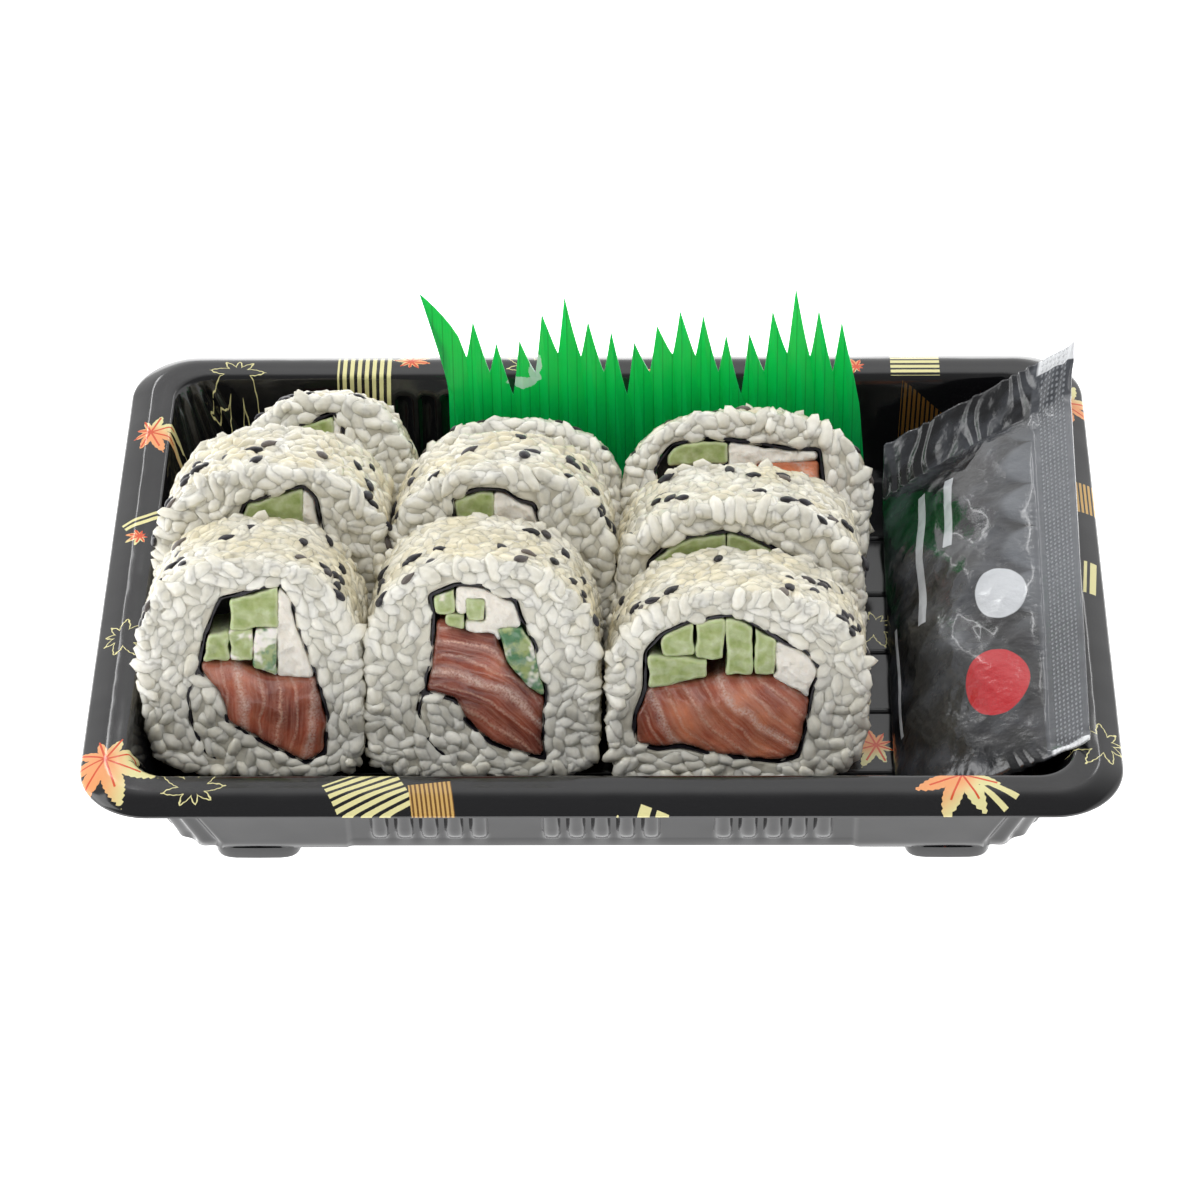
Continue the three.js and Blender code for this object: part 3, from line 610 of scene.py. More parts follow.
def within(points, loop):
    """Whether points lie inside a loop: a ray to the side crosses it an odd number of times."""
    x, y = points[:, :1], points[:, 1:]
    (x1, y1), (x2, y2) = loop.T, np.roll(loop, -1, 0).T
    crosses = (y1 > y) != (y2 > y)
    with np.errstate(divide="ignore", invalid="ignore"):
        left = x < (x2 - x1) * (y - y1) / (y2 - y1) + x1
    return np.sum(crosses & left, axis=1) % 2 == 1


def distance_to(points, loop):
    return np.min(np.linalg.norm(points[:, None] - loop[None], axis=2), axis=1)


print("nori loops:", [len(loop) for loop in face_loops("nori_front_middle", ROLLS[1])])

# %% [markdown]
# A flat region between outlines is filled with even triangles: a shaken grid of points, joined
# by a Delaunay triangulation, which keeps the outlines as edges.

# %% Filled faces
def in_region(points, loops):
    """Whether points lie inside the first loop and outside the others."""
    inside = [within(points, loop) for loop in loops]
    return inside[0] & ~np.any(inside[1:] or [False], 0)


def filled(loops, spacing, draw, beside=()):
    """Points and triangles of the flat region inside the first loop and outside the others."""
    low, high = loops[0].min(0), loops[0].max(0)
    rows = np.arange(low[1], high[1], spacing * 0.866)
    grid = np.array(
        [(x + (i % 2) * spacing / 2, y) for i, y in enumerate(rows)
         for x in np.arange(low[0], high[0], spacing)]
    )
    grid = grid + draw.uniform(-0.15, 0.15, grid.shape) * spacing
    keep = in_region(grid, loops) & (distance_to(grid, np.concatenate(loops)) > 0.6 * spacing)
    points = np.concatenate([*loops, grid[keep], *beside])
    edges, start = [], 0
    for loop in loops:
        size = len(loop)
        edges += [(start + i, start + (i + 1) % size) for i in range(size)]
        start += size
    found = delaunay_2d_cdt([Vector(p) for p in points], edges, [], 1, 1e-6, True)
    points, triangles = np.array([tuple(v) for v in found[0]]), np.array(found[2])
    triangles = triangles[in_region(points[triangles].mean(1), loops)]
    first, second, third = points[triangles].transpose(1, 0, 2)
    turn = np.cross(second - first, third - first)
    triangles[turn < 0] = triangles[turn < 0][:, ::-1]
    return points, triangles


square = np.array([[0, 0], [8, 0], [8, 8], [0, 8]])
print("triangles in a square:", len(filled([square], 1, np.random.default_rng(0))[1]))

# %% [markdown]
# ### Rice
# Cooked short-grain rice sticks together, but each grain still shows: about 6 mm long, plump and
# glassy. Geometry Nodes scatter whole grains over a core, lying flat on it, and beside the nori
# they lie along the sheet that pressed them. A voxel remesh could melt grains and core into one
# skin, but it rounds the grains off and the rice then looks like plaster. So they stay whole, and
# sit so deep in the core that only shallow seams are left between them.

# %% The rice core
def pressed(roll, points):
    """Keeps points off the floor, the side wall and the rolls beside them."""
    sine, cosine = math.sin(roll.lean), math.cos(roll.lean)
    x, y, z = points.T
    y = np.maximum(y, (REST - roll.lift - z * sine) / cosine)
    height = roll.lift + y * cosine + z * sine
    wall = LENGTH / 2 - wall_inset(np.minimum(height, RIM)) - 2 * GAP - PLEAT
    low = np.maximum(roll.low, -wall) - roll.middle[0]
    high = np.minimum(roll.high, wall) - roll.middle[0]
    return np.column_stack([np.clip(x, low, high), y, z])


def block_outline(roll, inset, z, count=84):
    angle = np.arange(count) * 2 * np.pi / count
    left, right = (FOOT_POWERS[abs(limit) < 90] for limit in (roll.low, roll.high))
    foot = np.where(np.cos(angle) < 0, left, right)
    across, up = squarish(angle, np.where(np.sin(angle) < 0, foot, OUTLINE_POWER))
    flat = np.stack([across * (roll.width / 2 - inset), up * (roll.height / 2 - inset)], 1)
    points = pressed(roll, level(flat, z))
    shift = np.array([0, points[:, 1].mean()]) - points[:, :2]
    points[:, :2] += unit(shift) * SUNK
    return points


OUTLINE_POWER = 2.35  # 2 is an ellipse, and more is squarer
FOOT_POWERS = {False: 3.8, True: 7}  # at the foot, without and with a roll beside it
SUNK = 0.4  # the core lies this far inside, and the grains stand out of it
GRAIN_GAP = 0.6  # grains keep this far from the nori, by their middles
PROFILE = [(1.2, 0.0), (0.35, 0.25), (0.0, 1.0)]  # inset and depth of the rounded cut edge


def rice_core(roll, cavity, draw):
    """The roll's rice without its grains: points, faces, where grains grow and which way."""
    front, back = -SUNK, -roll.depth + SUNK
    depths = [(inset, front - z) for inset, z in PROFILE]
    depths += [(0, z) for z in np.linspace(front - 3, back + 3, 5)]
    depths += [(inset, back + z) for inset, z in PROFILE[::-1]]
    rows = [block_outline(roll, inset, z) for inset, z in depths]
    hole = resampled(cavity, 1.0, 1)
    beside = hole + GRAIN_GAP * outward(hole)
    beside = beside[(distance_to(beside, hole) > 0.9 * GRAIN_GAP) & ~within(beside, hole)]
    parts = [walls(rows, -1)]
    for z, loop in ((front, rows[0][:, :2]), (back, rows[-1][:, :2])):
        kept = beside[within(beside, loop) & (distance_to(beside, loop) > 0.6)]
        flat, triangles = filled([loop, hole], 1.6, draw, [kept])
        parts.append((level(flat, z), triangles))
    parts.append(walls([level(hole, z) for z in np.linspace(front, back, 6)]))
    points, faces = merged(parts)
    points[:, :2] += shaken(points, 0.35, 9, 3, 8)
    gaps = np.linalg.norm(points[:, None, :2] - hole[None], axis=2)
    near = gaps.min(1)
    flow = level(tangents(hole)[gaps.argmin(1)], 0) * (4 * (1 - ramp(near, 1.5, 3.5)))[:, None]
    return points, faces, ramp(near, 0.15, 0.5), flow


# %% The grains
def grain_tree():
    """Scatters grains on the faces that the attribute grows allows."""
    tree, new, start = group(
        "rice_grains", "Geometry", "Geometry Spacing Length Width Sink Dents Seed Finish",
        "Geometry",
    )
    grows = new("GeometryNodeInputNamedAttribute", Name="grows")
    flow = new("GeometryNodeInputNamedAttribute", Name="flow", data_type="FLOAT_VECTOR")
    scatter = new(
        "GeometryNodeDistributePointsOnFaces", Mesh=start["Geometry"],
        Distance_Min=start["Spacing"], Density_Max=1.5e6, Density_Factor=grows, Seed=start["Seed"],
        distribute_method="POISSON",
    )
    stray = new(
        "FunctionNodeRandomValue FLOAT_VECTOR", Min=(-1, -1, -1), Max=(1, 1, 1), Seed=start["Seed"]
    )
    lying = new(
        "FunctionNodeAlignRotationToVector", Rotation=scatter.outputs["Rotation"],
        Vector=new("VectorMath ADD", flow, stray), axis="X", pivot_axis="Z",
    )
    tilt, size = (
        new("FunctionNodeRandomValue FLOAT_VECTOR", Min=low, Max=high, Seed=seed)
        for low, high, seed in (
            ((-0.6, -0.2, -0.3), (0.6, 0.2, 0.3), 5), ((0.75, 0.85, 0.75), (1.2, 1.12, 1.05), 2)
        )
    )
    tilt = new("FunctionNodeEulerToRotation", tilt)
    lying = new("FunctionNodeRotateRotation", lying, tilt, rotation_space="LOCAL")
    ball = new("GeometryNodeMeshUVSphere", Segments=8, Rings=6, Radius=0.5)
    _, _, z = new("SeparateXYZ", new("GeometryNodeInputPosition")).outputs
    # lift is the height on a grain, 0 at its foot and 1 at its top; the rice shader paints shade
    # low down with it
    ball = new(
        "GeometryNodeStoreNamedAttribute", Geometry=ball.outputs["Mesh"], Name="lift",
        Value=new("Math ADD", z, 0.5), domain="POINT",
    )
    ball = new("GeometryNodeSetShadeSmooth", Geometry=ball)
    shape = new("CombineXYZ", start["Length"], start["Width"], start["Width"])
    grain = new("GeometryNodeTransform", Geometry=ball, Scale=shape)
    laid = new(
        "GeometryNodeInstanceOnPoints", Points=scatter.outputs["Points"], Instance=grain,
        Rotation=lying, Scale=size,
    )
    down = new("CombineXYZ", Z=start["Sink"])
    laid = new("GeometryNodeTranslateInstances", Instances=laid, Translation=down)
    laid = new(
        "GeometryNodeStoreNamedAttribute", Geometry=laid, Name="shade", domain="INSTANCE",
        Value=new("FunctionNodeRandomValue", Min=0.1, Max=1.0, Seed=9),
    )
    real = new("GeometryNodeRealizeInstances", Geometry=laid)
    dents = new("TexNoise", Scale=420.0, Detail=1.0)
    dents = new("VectorMath SUBTRACT", dents.outputs["Color"], (0.5, 0.5, 0.5))
    dents = new("VectorMath SCALE", dents, start["Dents"])
    real = new("GeometryNodeSetPosition", Geometry=real, Offset=dents)
    both = new("GeometryNodeJoinGeometry", Geometry=real)
    tree.links.new(start["Geometry"], both.inputs["Geometry"])
    done = new("GeometryNodeSetMaterial", Geometry=both, Material=start["Finish"])
    new("NodeGroupOutput", Geometry=done)
    return tree


def grown(made, tree, **values):
    """The result of a tree on an object, as its plain mesh."""
    modifier = made.modifiers.new(tree.name, "NODES")
    modifier.node_group = tree
    for item in tree.interface.items_tree:
        if item.in_out == "INPUT" and item.name in values:
            modifier[item.identifier] = values[item.name]
    return settled(made)


GRAINS = grain_tree()
print("rice tree:", len(GRAINS.nodes), "nodes")

# %% [markdown]
# Rice is white starch that light enters, so its shader scatters light under the surface. Its
# outside is painted a little warmer in patches, and the cut faces stay cooler and greyer. Each
# grain is painted darker low down and the bare core gets dark seams, both painted shade. Every
# grain takes its own tone from the shade attribute that the tree stored.

# %% Cooked rice
def rice_finish():
    made, new = material(
        "cooked_short_grain_rice", Roughness=0.27, IOR=1.45, Subsurface_Weight=0.45,
        Subsurface_Scale=0.0008, Subsurface_Radius=(1.0, 0.95, 0.88), Coat_Weight=0.25,
        Coat_Roughness=0.15,
    )
    shade, warm, lift = (
        new("Attribute", attribute_name=name).outputs["Fac"]
        for name in ("shade", "outside", "lift")
    )
    place = millimetres(new)
    patches = new("TexNoise", place, 0.11, 3.0)
    spread = new("MapRange", patches, 0.3, 0.6)
    # the outside of the roll is painted warmer in large patches
    warm_patches = new("Math MULTIPLY", warm, spread)
    cloudy = new("TexNoise", place, 0.8, 2.0)
    milky = new("Math MULTIPLY_ADD", cloudy, 0.9, -0.45)
    milky = new("Math ADD", milky, shade, use_clamp=True)
    tone = new("Mix RGBA", milky, "#cdcabd", "#f1eee2")
    cream = new("Mix RGBA", warm_patches, tone, "#f7f0dc", blend_type="MULTIPLY")
    # painted shade: each grain is painted darker low down, where it sinks into the core
    valley_shade = new("MapRange SMOOTHSTEP", lift, 0.5, 0.85)
    cream = new("Mix RGBA", valley_shade, "#ddd9ca", cream)
    pressed_flat = new("TexVoronoi SMOOTH_F1", place, 0.36, Smoothness=0.35)
    # painted shade: the bare core between the grains gets dark seams in a pattern of cells, which
    # are also sunk as grooves
    shaded_seam = new("MapRange SMOOTHSTEP", pressed_flat, 0.35, 0.7, To_Max=0.55)
    bare = new("Math LESS_THAN", lift, 0.02)
    shaded_seam = new("Math MULTIPLY", shaded_seam, bare)
    cream = new("Mix RGBA", shaded_seam, cream, "#a9a392")
    height = new("Math MULTIPLY_ADD", shaded_seam, -3.0, cloudy)
    return dressed(made, cream, height, 0.4, 0.0003)


RICE = rice_finish()
print("material:", RICE.name)


# %% Rice for every roll
def rice(roll, seed):
    """A roll's core with its grains. What lies behind the cut edge counts as outside."""
    draw = np.random.default_rng(seed)
    cavity = face_loops("nori_" + roll.name, roll)[0]
    points, faces, grows, flow = rice_core(roll, cavity + 0.1 * outward(cavity), draw)
    core = facing_out(mesh_object(
        roll.name + "_rice", roll.placed(points), faces, None, grows=grows,
        flow=flow @ roll.axes,
    ))
    grown(core, GRAINS, Spacing=1.8 * MM, Length=5.9 * MM, Width=3.1 * MM, Sink=-0.95 * MM,
          Dents=1.4 * MM, Seed=seed, Finish=RICE)
    mesh = core.data
    places = np.empty(len(mesh.vertices) * 3, np.float32)
    mesh.vertices.foreach_get("co", places)
    local = roll.on_face(places.reshape(-1, 3) / MM)
    mesh.attributes.new("outside", "FLOAT", "POINT").data.foreach_set(
        "value", ramp(-local[:, 2], 0.8, 3.5).astype(np.float32)
    )
    mesh.materials.clear()
    mesh.materials.append(RICE)
    return finished(core, "rice_" + roll.name)


RICE_PIECES = [rice(roll, 11 + i) for i, roll in enumerate(ROLLS)]
print("rice faces:", [len(piece.data.polygons) for piece in RICE_PIECES])

# %% [markdown]
# ### Nori
# The sheet of dried seaweed is thin, almost black and slightly crinkled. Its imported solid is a
# straight-sided band, so its outline is resampled, given small waves and run back through the
# roll with a thickness that varies a little, as a damp sheet's does.

# %% Nori
def nori_finish():
    made, new = material(
        "dried_seaweed_sheet", Roughness=0.42, IOR=1.45, Coat_Weight=0.15, Coat_Roughness=0.3
    )
    place = millimetres(new)
    weave = new("TexNoise", place, 0.9, 5.0)
    tone = new("Mix RGBA", weave, "#0c0b0f", "#25222a")
    return dressed(made, tone, weave, 0.5, 0.0003)


def tube(loops, front, back, rows, draw, spacing=1.2):
    """A closed body from flat outlines, the first outside, run back through the roll."""
    parts = []
    for z, way in ((front, 1), (back, -1)):
        flat, triangles = filled(loops, spacing, draw)
        parts.append((level(flat, z), triangles[:, ::way]))
    stops = np.linspace(front, back, rows)
    return merged(parts + [walls([level(loop, z) for z in stops]) for loop in loops])


NORI = nori_finish()
for i, roll in enumerate(ROLLS):
    loops = [resampled(loop, 0.5, 1) for loop in face_loops("nori_" + roll.name, roll)]
    outer, *holes = loops
    for loop, way in [(outer, 1)] + [(hole, -1) for hole in holes]:
        swell = wobble(level(loop, 7.0 * i), 1.9)
        loop += (-0.16 + 0.28 * swell)[:, None] * way * outward(loop)
    points, faces = tube(loops, -GAP, -roll.depth + GAP, 7, np.random.default_rng(50 + i))
    if holes:  # a fold of the sheet across the inside, which shuts the hollows beside the filling
        deep = -0.4 * roll.depth
        fold = tube([holes[0] + 0.1], deep, deep - 0.4, 2, np.random.default_rng(70 + i), 2.5)
        points, faces = merged([(points, faces), fold])
    points[:, :2] += shaken(points, 0.12, 4, 1, 6)
    sheet = facing_out(mesh_object(roll.name + "_nori", roll.placed(points), faces, NORI))
    finished(smooth(sheet, sharp=50), "nori_" + roll.name)
print("nori: 9 sheets, the last with", len(sheet.data.polygons), "faces")

# %% [markdown]
# ### The fillings
# A filling is a strip with a cut end that shows. One function makes them all: a fine cut face
# with its own relief and a rounded edge, and plainer sides that run back. The relief differs:
# salmon parts along its white fat lines, cucumber is nearly flat, cream cheese is pushed in lumps.

# %% The cut strips
UNEVEN = 0.4  # a knife and soft food leave no straight edges


def strip(roll, node, relief, edge, spacing, softer, fuller, draw):
    """Points, faces and distance from the edge of one filling, in the frame of its cut face."""
    loop = resampled(face_loops(node, roll)[0], spacing, softer)
    uneven = wobble(level(loop, roll.width), 2.4)
    loop += (fuller + UNEVEN * uneven)[:, None] * outward(loop)
    flat, triangles = filled([loop], spacing, draw)
    depth = distance_to(flat, loop)
    depth[depth < 1e-3] = 0
    drop = edge * (1 - np.sqrt(1 - (1 - np.clip(depth / edge, 0, 1)) ** 2))
    height = roll.front - drop + relief(flat) * ramp(depth, 0, edge)
    back = -roll.depth + GAP
    stops = [roll.front - edge, *np.linspace(roll.front - edge - 1.2, back, 6)]
    far, far_triangles = filled([loop], 3 * spacing, draw)
    points, faces = merged([
        (np.column_stack([flat, height]), triangles),
        walls([level(loop, z) for z in stops], -1), (level(far, back), far_triangles[:, ::-1]),
    ])
    return points, faces, distance_to(points[:, :2], loop)


def filling(roll, node, name, finish, slot, relief, edge, spacing, softer, fuller, seed, **extra):
    """One strip as a finished piece. extra names values of its points that its shader reads."""
    draw = np.random.default_rng(seed)
    points, faces, near = strip(roll, node, relief, edge, spacing, softer, fuller, draw)
    attributes = {key: value(points) for key, value in extra.items()}
    placed = roll.placed(points)
    made = mesh_object(name, placed, faces, finish, face=points, rim=near, **attributes)
    return finished(facing_out(made), node)


# %% [markdown]
# Raw salmon is soft red muscle in thin flakes with pale fat between them. The lines are straight
# where the knife crossed them and bend where the strip was squeezed, so the pattern has its own
# coordinate, stored on the mesh: millimetres across the fat lines.

# %% Raw salmon
# How far the salmon of each kind of roll is moved along its colour ramp, lighter or darker.
SALMON_TONE_SHIFT = {"tall": 0.03, "folded": -0.12, "wide": 0.08, "low": 0.34}
FAT_TURN = {"tall": (8, 0.012), "folded": (68, 0.02), "wide": (38, -0.015), "low": (60, 0.01)}


def across_fat(roll):
    """Measures millimetres across the fat lines, which turn and bend in each kind of roll."""
    angle, bend = FAT_TURN[roll.kind]
    sine, cosine = math.sin(math.radians(angle)), math.cos(math.radians(angle))

    def measure(points):
        x, y = points[:, 0], points[:, 1]
        along = -x * sine + y * cosine
        wave = 0.7 * np.array([noise.noise(Vector((a / 5, b / 5, 2.0))) for a, b in zip(x, y)])
        return x * cosine + y * sine + bend * along**2 + wave

    return measure


def salmon_finish():
    made, new = material(
        "raw_salmon", Roughness=0.24, IOR=1.42, Subsurface_Weight=0.25, Subsurface_Scale=0.001,
        Subsurface_Radius=(1.0, 0.35, 0.2), Coat_Weight=0.5, Coat_Roughness=0.1,
    )
    place = millimetres(new)
    across, rim, fresh = (
        new("Attribute", attribute_name=name).outputs["Fac"]
        for name in ("across", "rim", "fresh")
    )
    patches = new("TexNoise", place, 0.13, 3.0)
    face = new("Attribute", attribute_name="face").outputs["Vector"]
    flat = new("VectorMath MULTIPLY", face, (0.1, 0.1, 0.1))
    fibres = new("TexNoise", new("VectorMath ADD", flat, new("CombineXYZ", across)), 1.5, 4.0)
    specks = new("TexNoise", place, 2.4, 3.0)
    meat = coloured(
        new("ValToRGB", new("Math ADD", patches, fresh)), (0.3, "#7c3a2d"), (0.9, "#ee9062"),
        (0.5, "#a8573f"), (0.66, "#c97b5d"),
    )

    def veins(period, low, high, strength):
        """Pale lines at even steps across the fat, broken along their length."""
        wander = new("Math MULTIPLY_ADD", patches, 3.4, across)
        line = new("MapRange SMOOTHSTEP", new("Math PINGPONG", wander, period / 2), high, low)
        line = new("Math MULTIPLY", line, new("MapRange", specks, 0.25, 0.7))
        return new("Math MULTIPLY", line, strength)

    threads = new("MapRange", fibres, 0.42, 0.75, To_Max=0.4)
    tone = meat
    for factor, colour in (
        (threads, "#d99e86"), (veins(6.2, 0.0, 1.5, 0.5), "#dca48e"),
        (veins(3.1, 0.0, 0.5, 0.55), "#e8c0ab"), (veins(13.0, 0.0, 1.6, 0.55), "#ead3c8"),
    ):
        tone = new("Mix RGBA", factor, tone, colour)
    # painted shade: the cut face is painted darker towards its outline, down to about half at the
    # edge
    edge_shade = new("MapRange SMOOTHSTEP", rim, -0.4, 2.2, 0.45, 1.0)
    tone = new("Mix RGBA", 1.0, tone, edge_shade, blend_type="MULTIPLY")
    return dressed(made, tone, new("Math ADD", fibres, specks), 0.4, 0.0003)


SALMON = salmon_finish()
for i, roll in enumerate(ROLLS):
    measure = across_fat(roll)

    def flakes(flat):
        lines = np.abs((measure(flat) / 2.6) % 1 - 0.5) * 2
        swell = wobble(level(flat, 3.0 * i), 5)
        return 0.45 * swell + 0.16 * lines**4 - 0.2

    filling(roll, "salmon_" + roll.name, roll.name + "_salmon", SALMON, "salmon", flakes, 0.8,
            0.45, 3, 0.2, 60 + i, across=measure,
            fresh=lambda points: np.full(len(points), SALMON_TONE_SHIFT[roll.kind]))
print("salmon: 9 strips")

# %% [markdown]
# Cucumber sticks are cut square. Their flesh is pale, wet and see-through, and a stick from the
# outside of the cucumber has dark green skin on one side.

# %% Cucumber
SKIN = {"front_left_3": 0.6, "front_middle_4": 0.62, "front_left_4": 0.3, "front_middle_2": 0.2}
CHEESE = {"front_left_3": 0.42, "front_left_2": 0.34, "front_middle_4": 0.36, "front_middle_1": 0.3,
          "front_left_1": 0.22}


def cucumber_finish():
    made, new = material(
        "cut_cucumber", Roughness=0.22, IOR=1.36, Subsurface_Weight=0.4, Subsurface_Scale=0.0012,
        Subsurface_Radius=(0.6, 1.0, 0.35), Coat_Weight=0.5, Coat_Roughness=0.08,
    )
    place = millimetres(new)
    skin, rim, cheese = (
        new("Attribute", attribute_name=name).outputs["Fac"]
        for name in ("skin", "rim", "cheese")
    )
    cells = new("TexNoise", place, 0.5, 4.0)
    smear = new("TexNoise", place, 0.3, 2.0)
    flesh = coloured(
        new("ValToRGB", cells), (0.25, "#8a9b59"), (0.8, "#c3cca3"), (0.5, "#a5b178")
    )
    # painted highlight: the flesh is painted pale within 0.7 mm of the cut edge
    edge = new("MapRange", rim, 0.0, 0.7, 0.5, 0.0)
    flesh_with_lit_rim = new("Mix RGBA", edge, flesh, "#dde4c2")

    def spread(share, pattern, low, high):
        return new("MapRange SMOOTHSTEP", new("Math MULTIPLY_ADD", pattern, 1.2, share), low, high)

    peel = new("Mix RGBA", cells, "#1f4a2e", "#6d9a72")
    tone = new("Mix RGBA", spread(skin, cells, 1.05, 1.35), flesh_with_lit_rim, peel)
    tone = new("Mix RGBA", spread(cheese, smear, 1.0, 1.16), tone, "#f0ece4")
    return dressed(made, tone, cells, 0.5, 0.0004)


def dimpled(flat):
    return 0.3 * wobble(level(flat, 0), 2.2) - 0.05


CUCUMBER = cucumber_finish()
sticks = sorted(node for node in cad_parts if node.startswith("cucumber_"))
for i, node in enumerate(sticks):
    place, number = node.removeprefix("cucumber_").rsplit("_", 1)
    roll = next(roll for roll in ROLLS if roll.name == place)
    shares = [of.get(f"{place}_{number}", 0.0) for of in (SKIN, CHEESE)]
    filling(roll, node, f"{place}_cucumber_{number}", CUCUMBER, "cucumber", dimpled, 0.35, 0.4, 1,
            0.1, 80 + i, skin=lambda points: np.full(len(points), shares[0]),
            cheese=lambda points: np.full(len(points), shares[1]))
print("cucumber:", len(sticks), "sticks")

# %% [markdown]
# Cream cheese is soft and sticks to the knife: its face is smeared and slightly lumpy, matt next
# to the wet salmon and cucumber.

# %% Cream cheese
def cream_finish():
    made, new = material(
        "cream_cheese", Roughness=0.33, IOR=1.45, Subsurface_Weight=0.4, Subsurface_Scale=0.001,
        Subsurface_Radius=(1.0, 0.85, 0.7), Coat_Weight=0.3, Coat_Roughness=0.18,
    )
    place = millimetres(new)
    lumps = new("TexNoise", place, 0.5, 4.0)
    tone = new("Mix RGBA", lumps, "#dcd5c8", "#f5f1e9")
    return dressed(made, tone, lumps, 0.6, 0.001)


def smeared(flat):
    return 0.8 * wobble(level(flat, 4.0), 3.2) + 0.35 * wobble(level(flat, 4.0), 1.3)


CREAM = cream_finish()
for i, roll in enumerate(ROLLS):
    filling(roll, "cream_cheese_" + roll.name, roll.name + "_cream_cheese", CREAM,
            "cream_cheese", smeared, 0.6, 0.45, 3, 0.25, 110 + i)
print("cream cheese: 9 strips")

# %% [markdown]
# ### Black sesame
# Seeds are strewn over the outside before the roll is cut, so they lie flat on the rice and some
# are caught at the cut edges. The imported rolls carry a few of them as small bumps, drawn by a
# simple random rule. The same rule is repeated here, more seeds are added round them, and
# Geometry Nodes set one small teardrop on every place.

# %% Places of the seeds
BUMP_DRAWS = 260  # numbers drawn for the bumps of the rice, before those for the seeds
SEED_MARGIN, PACKED_SPAN = 3.5, (-82, 60)


def packed_draw(seed):
    """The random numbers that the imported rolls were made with, one at a time."""
    state = seed
    while True:
        state = (state + 0x6D2B79F5) & 0xFFFFFFFF
        mixed = ((state ^ (state >> 15)) * (1 | state)) & 0xFFFFFFFF
        mixed ^= (mixed + (mixed ^ (mixed >> 7)) * (61 | mixed)) & 0xFFFFFFFF
        yield ((mixed ^ (mixed >> 14)) & 0xFFFFFFFF) / 2**32


def packed_seeds(roll, index):
    """Angle round the roll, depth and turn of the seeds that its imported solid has."""
    numbers = packed_draw(71 + index)
    for _ in range(BUMP_DRAWS):
        next(numbers)
    wanted, found = (4 if roll.name.startswith("back") else 9), []
    while len(found) < wanted:
        angle = mix(0.12, 0.88, next(numbers)) * math.pi
        z = -mix(SEED_MARGIN, roll.depth - SEED_MARGIN, next(numbers))
        turn = next(numbers) * math.pi
        x = squarish(angle, OUTLINE_POWER)[0] * roll.width / 2 + roll.middle[0]
        low, high = max(roll.low, PACKED_SPAN[0]), min(roll.high, PACKED_SPAN[1])
        if min(x - low, high - x) > 2.5:
            found.append((angle, z, turn))
    return found


def more_seeds(roll, draw, count):
    """Seeds on the upper outside, thickest near the cut edge and at the sides."""
    found = []
    for _ in range(count):
        angle = math.pi * (0.5 + 0.46 * np.sign(draw.uniform(-1, 1)) * draw.uniform(0.1, 1) ** 0.7)
        found.append((angle, -abs(draw.normal(1.0, 6.0)) - 0.6, draw.uniform(0, math.pi)))
    return found


REACH = 8  # how far a seed falls towards the rice


def seed_spots(roll, index, piece):
    """Place, lean, turn, size and shade of each seed that comes to lie on the rice."""
    draw = np.random.default_rng(200 + index)
    graph = bpy.context.evaluated_depsgraph_get()
    skin = BVHTree.FromObject(piece, graph)
    spots = packed_seeds(roll, index) + more_seeds(roll, draw, 8 if "back" in roll.name else 15)
    rows = []
    for angle, z, turn in spots:
        x, y = np.array(squarish(angle, OUTLINE_POWER)) * (roll.width, roll.height) / 2
        out = math.atan2(y * roll.width**2, x * roll.height**2)
        normal = np.array([math.cos(out), math.sin(out), 0])
        z = max(z, 2 - roll.depth)
        start = pressed(roll, np.array([[x, y, z]]))[0] + 3 * normal
        way = Vector(-normal @ roll.axes)
        hit, hit_normal, _, _ = skin.ray_cast(Vector(roll.placed(start) * MM), way, REACH * MM)
        if hit is not None:
            lean = (hit_normal * 0.5 - way).normalized()
            size, shade = draw.uniform(0.85, 1.12), draw.random()
            rows.append((*(np.array(hit) / MM), *lean, turn, size, shade))
    return rows


spots = np.array(
    [row for i, roll in enumerate(ROLLS) for row in seed_spots(roll, i, RICE_PIECES[i])]
)
print("sesame seeds:", len(spots))


# %% The seeds
def seed_tree():
    tree, new, start = group("sesame_seeds", "Geometry", "Geometry Length Finish", "Geometry")
    ball = new("GeometryNodeMeshUVSphere", Segments=14, Rings=10, Radius=0.5)
    x, y, z = new("SeparateXYZ", new("GeometryNodeInputPosition")).outputs
    narrow = new("MapRange SMOOTHSTEP", x, -0.1, 0.55, 1.0, 0.45)
    y, z = (
        new("Math MULTIPLY", new("Math MULTIPLY", side, share), narrow)
        for side, share in ((y, 0.6), (z, 0.36))
    )
    drop = new("CombineXYZ", x, y, z)
    drop = new("GeometryNodeSetPosition", Geometry=ball.outputs["Mesh"], Position=drop)
    lean, turn, size = (
        new("GeometryNodeInputNamedAttribute", Name=name, data_type=kind)
        for name, kind in (("lean", "FLOAT_VECTOR"), ("turn", "FLOAT"), ("size", "FLOAT"))
    )
    lying = new("FunctionNodeAlignRotationToVector", Vector=lean, axis="Z")
    turned = new("FunctionNodeAxisAngleToRotation", Axis=(0, 0, 1), Angle=turn)
    lying = new("FunctionNodeRotateRotation", lying, turned, rotation_space="LOCAL")
    laid = new(
        "GeometryNodeInstanceOnPoints", Points=start["Geometry"], Instance=drop, Rotation=lying,
        Scale=new("Math MULTIPLY", start["Length"], size),
    )
    real = new("GeometryNodeRealizeInstances", Geometry=laid)
    done = new("GeometryNodeSetMaterial", Geometry=real, Material=start["Finish"])
    new("NodeGroupOutput", Geometry=done)
    return tree


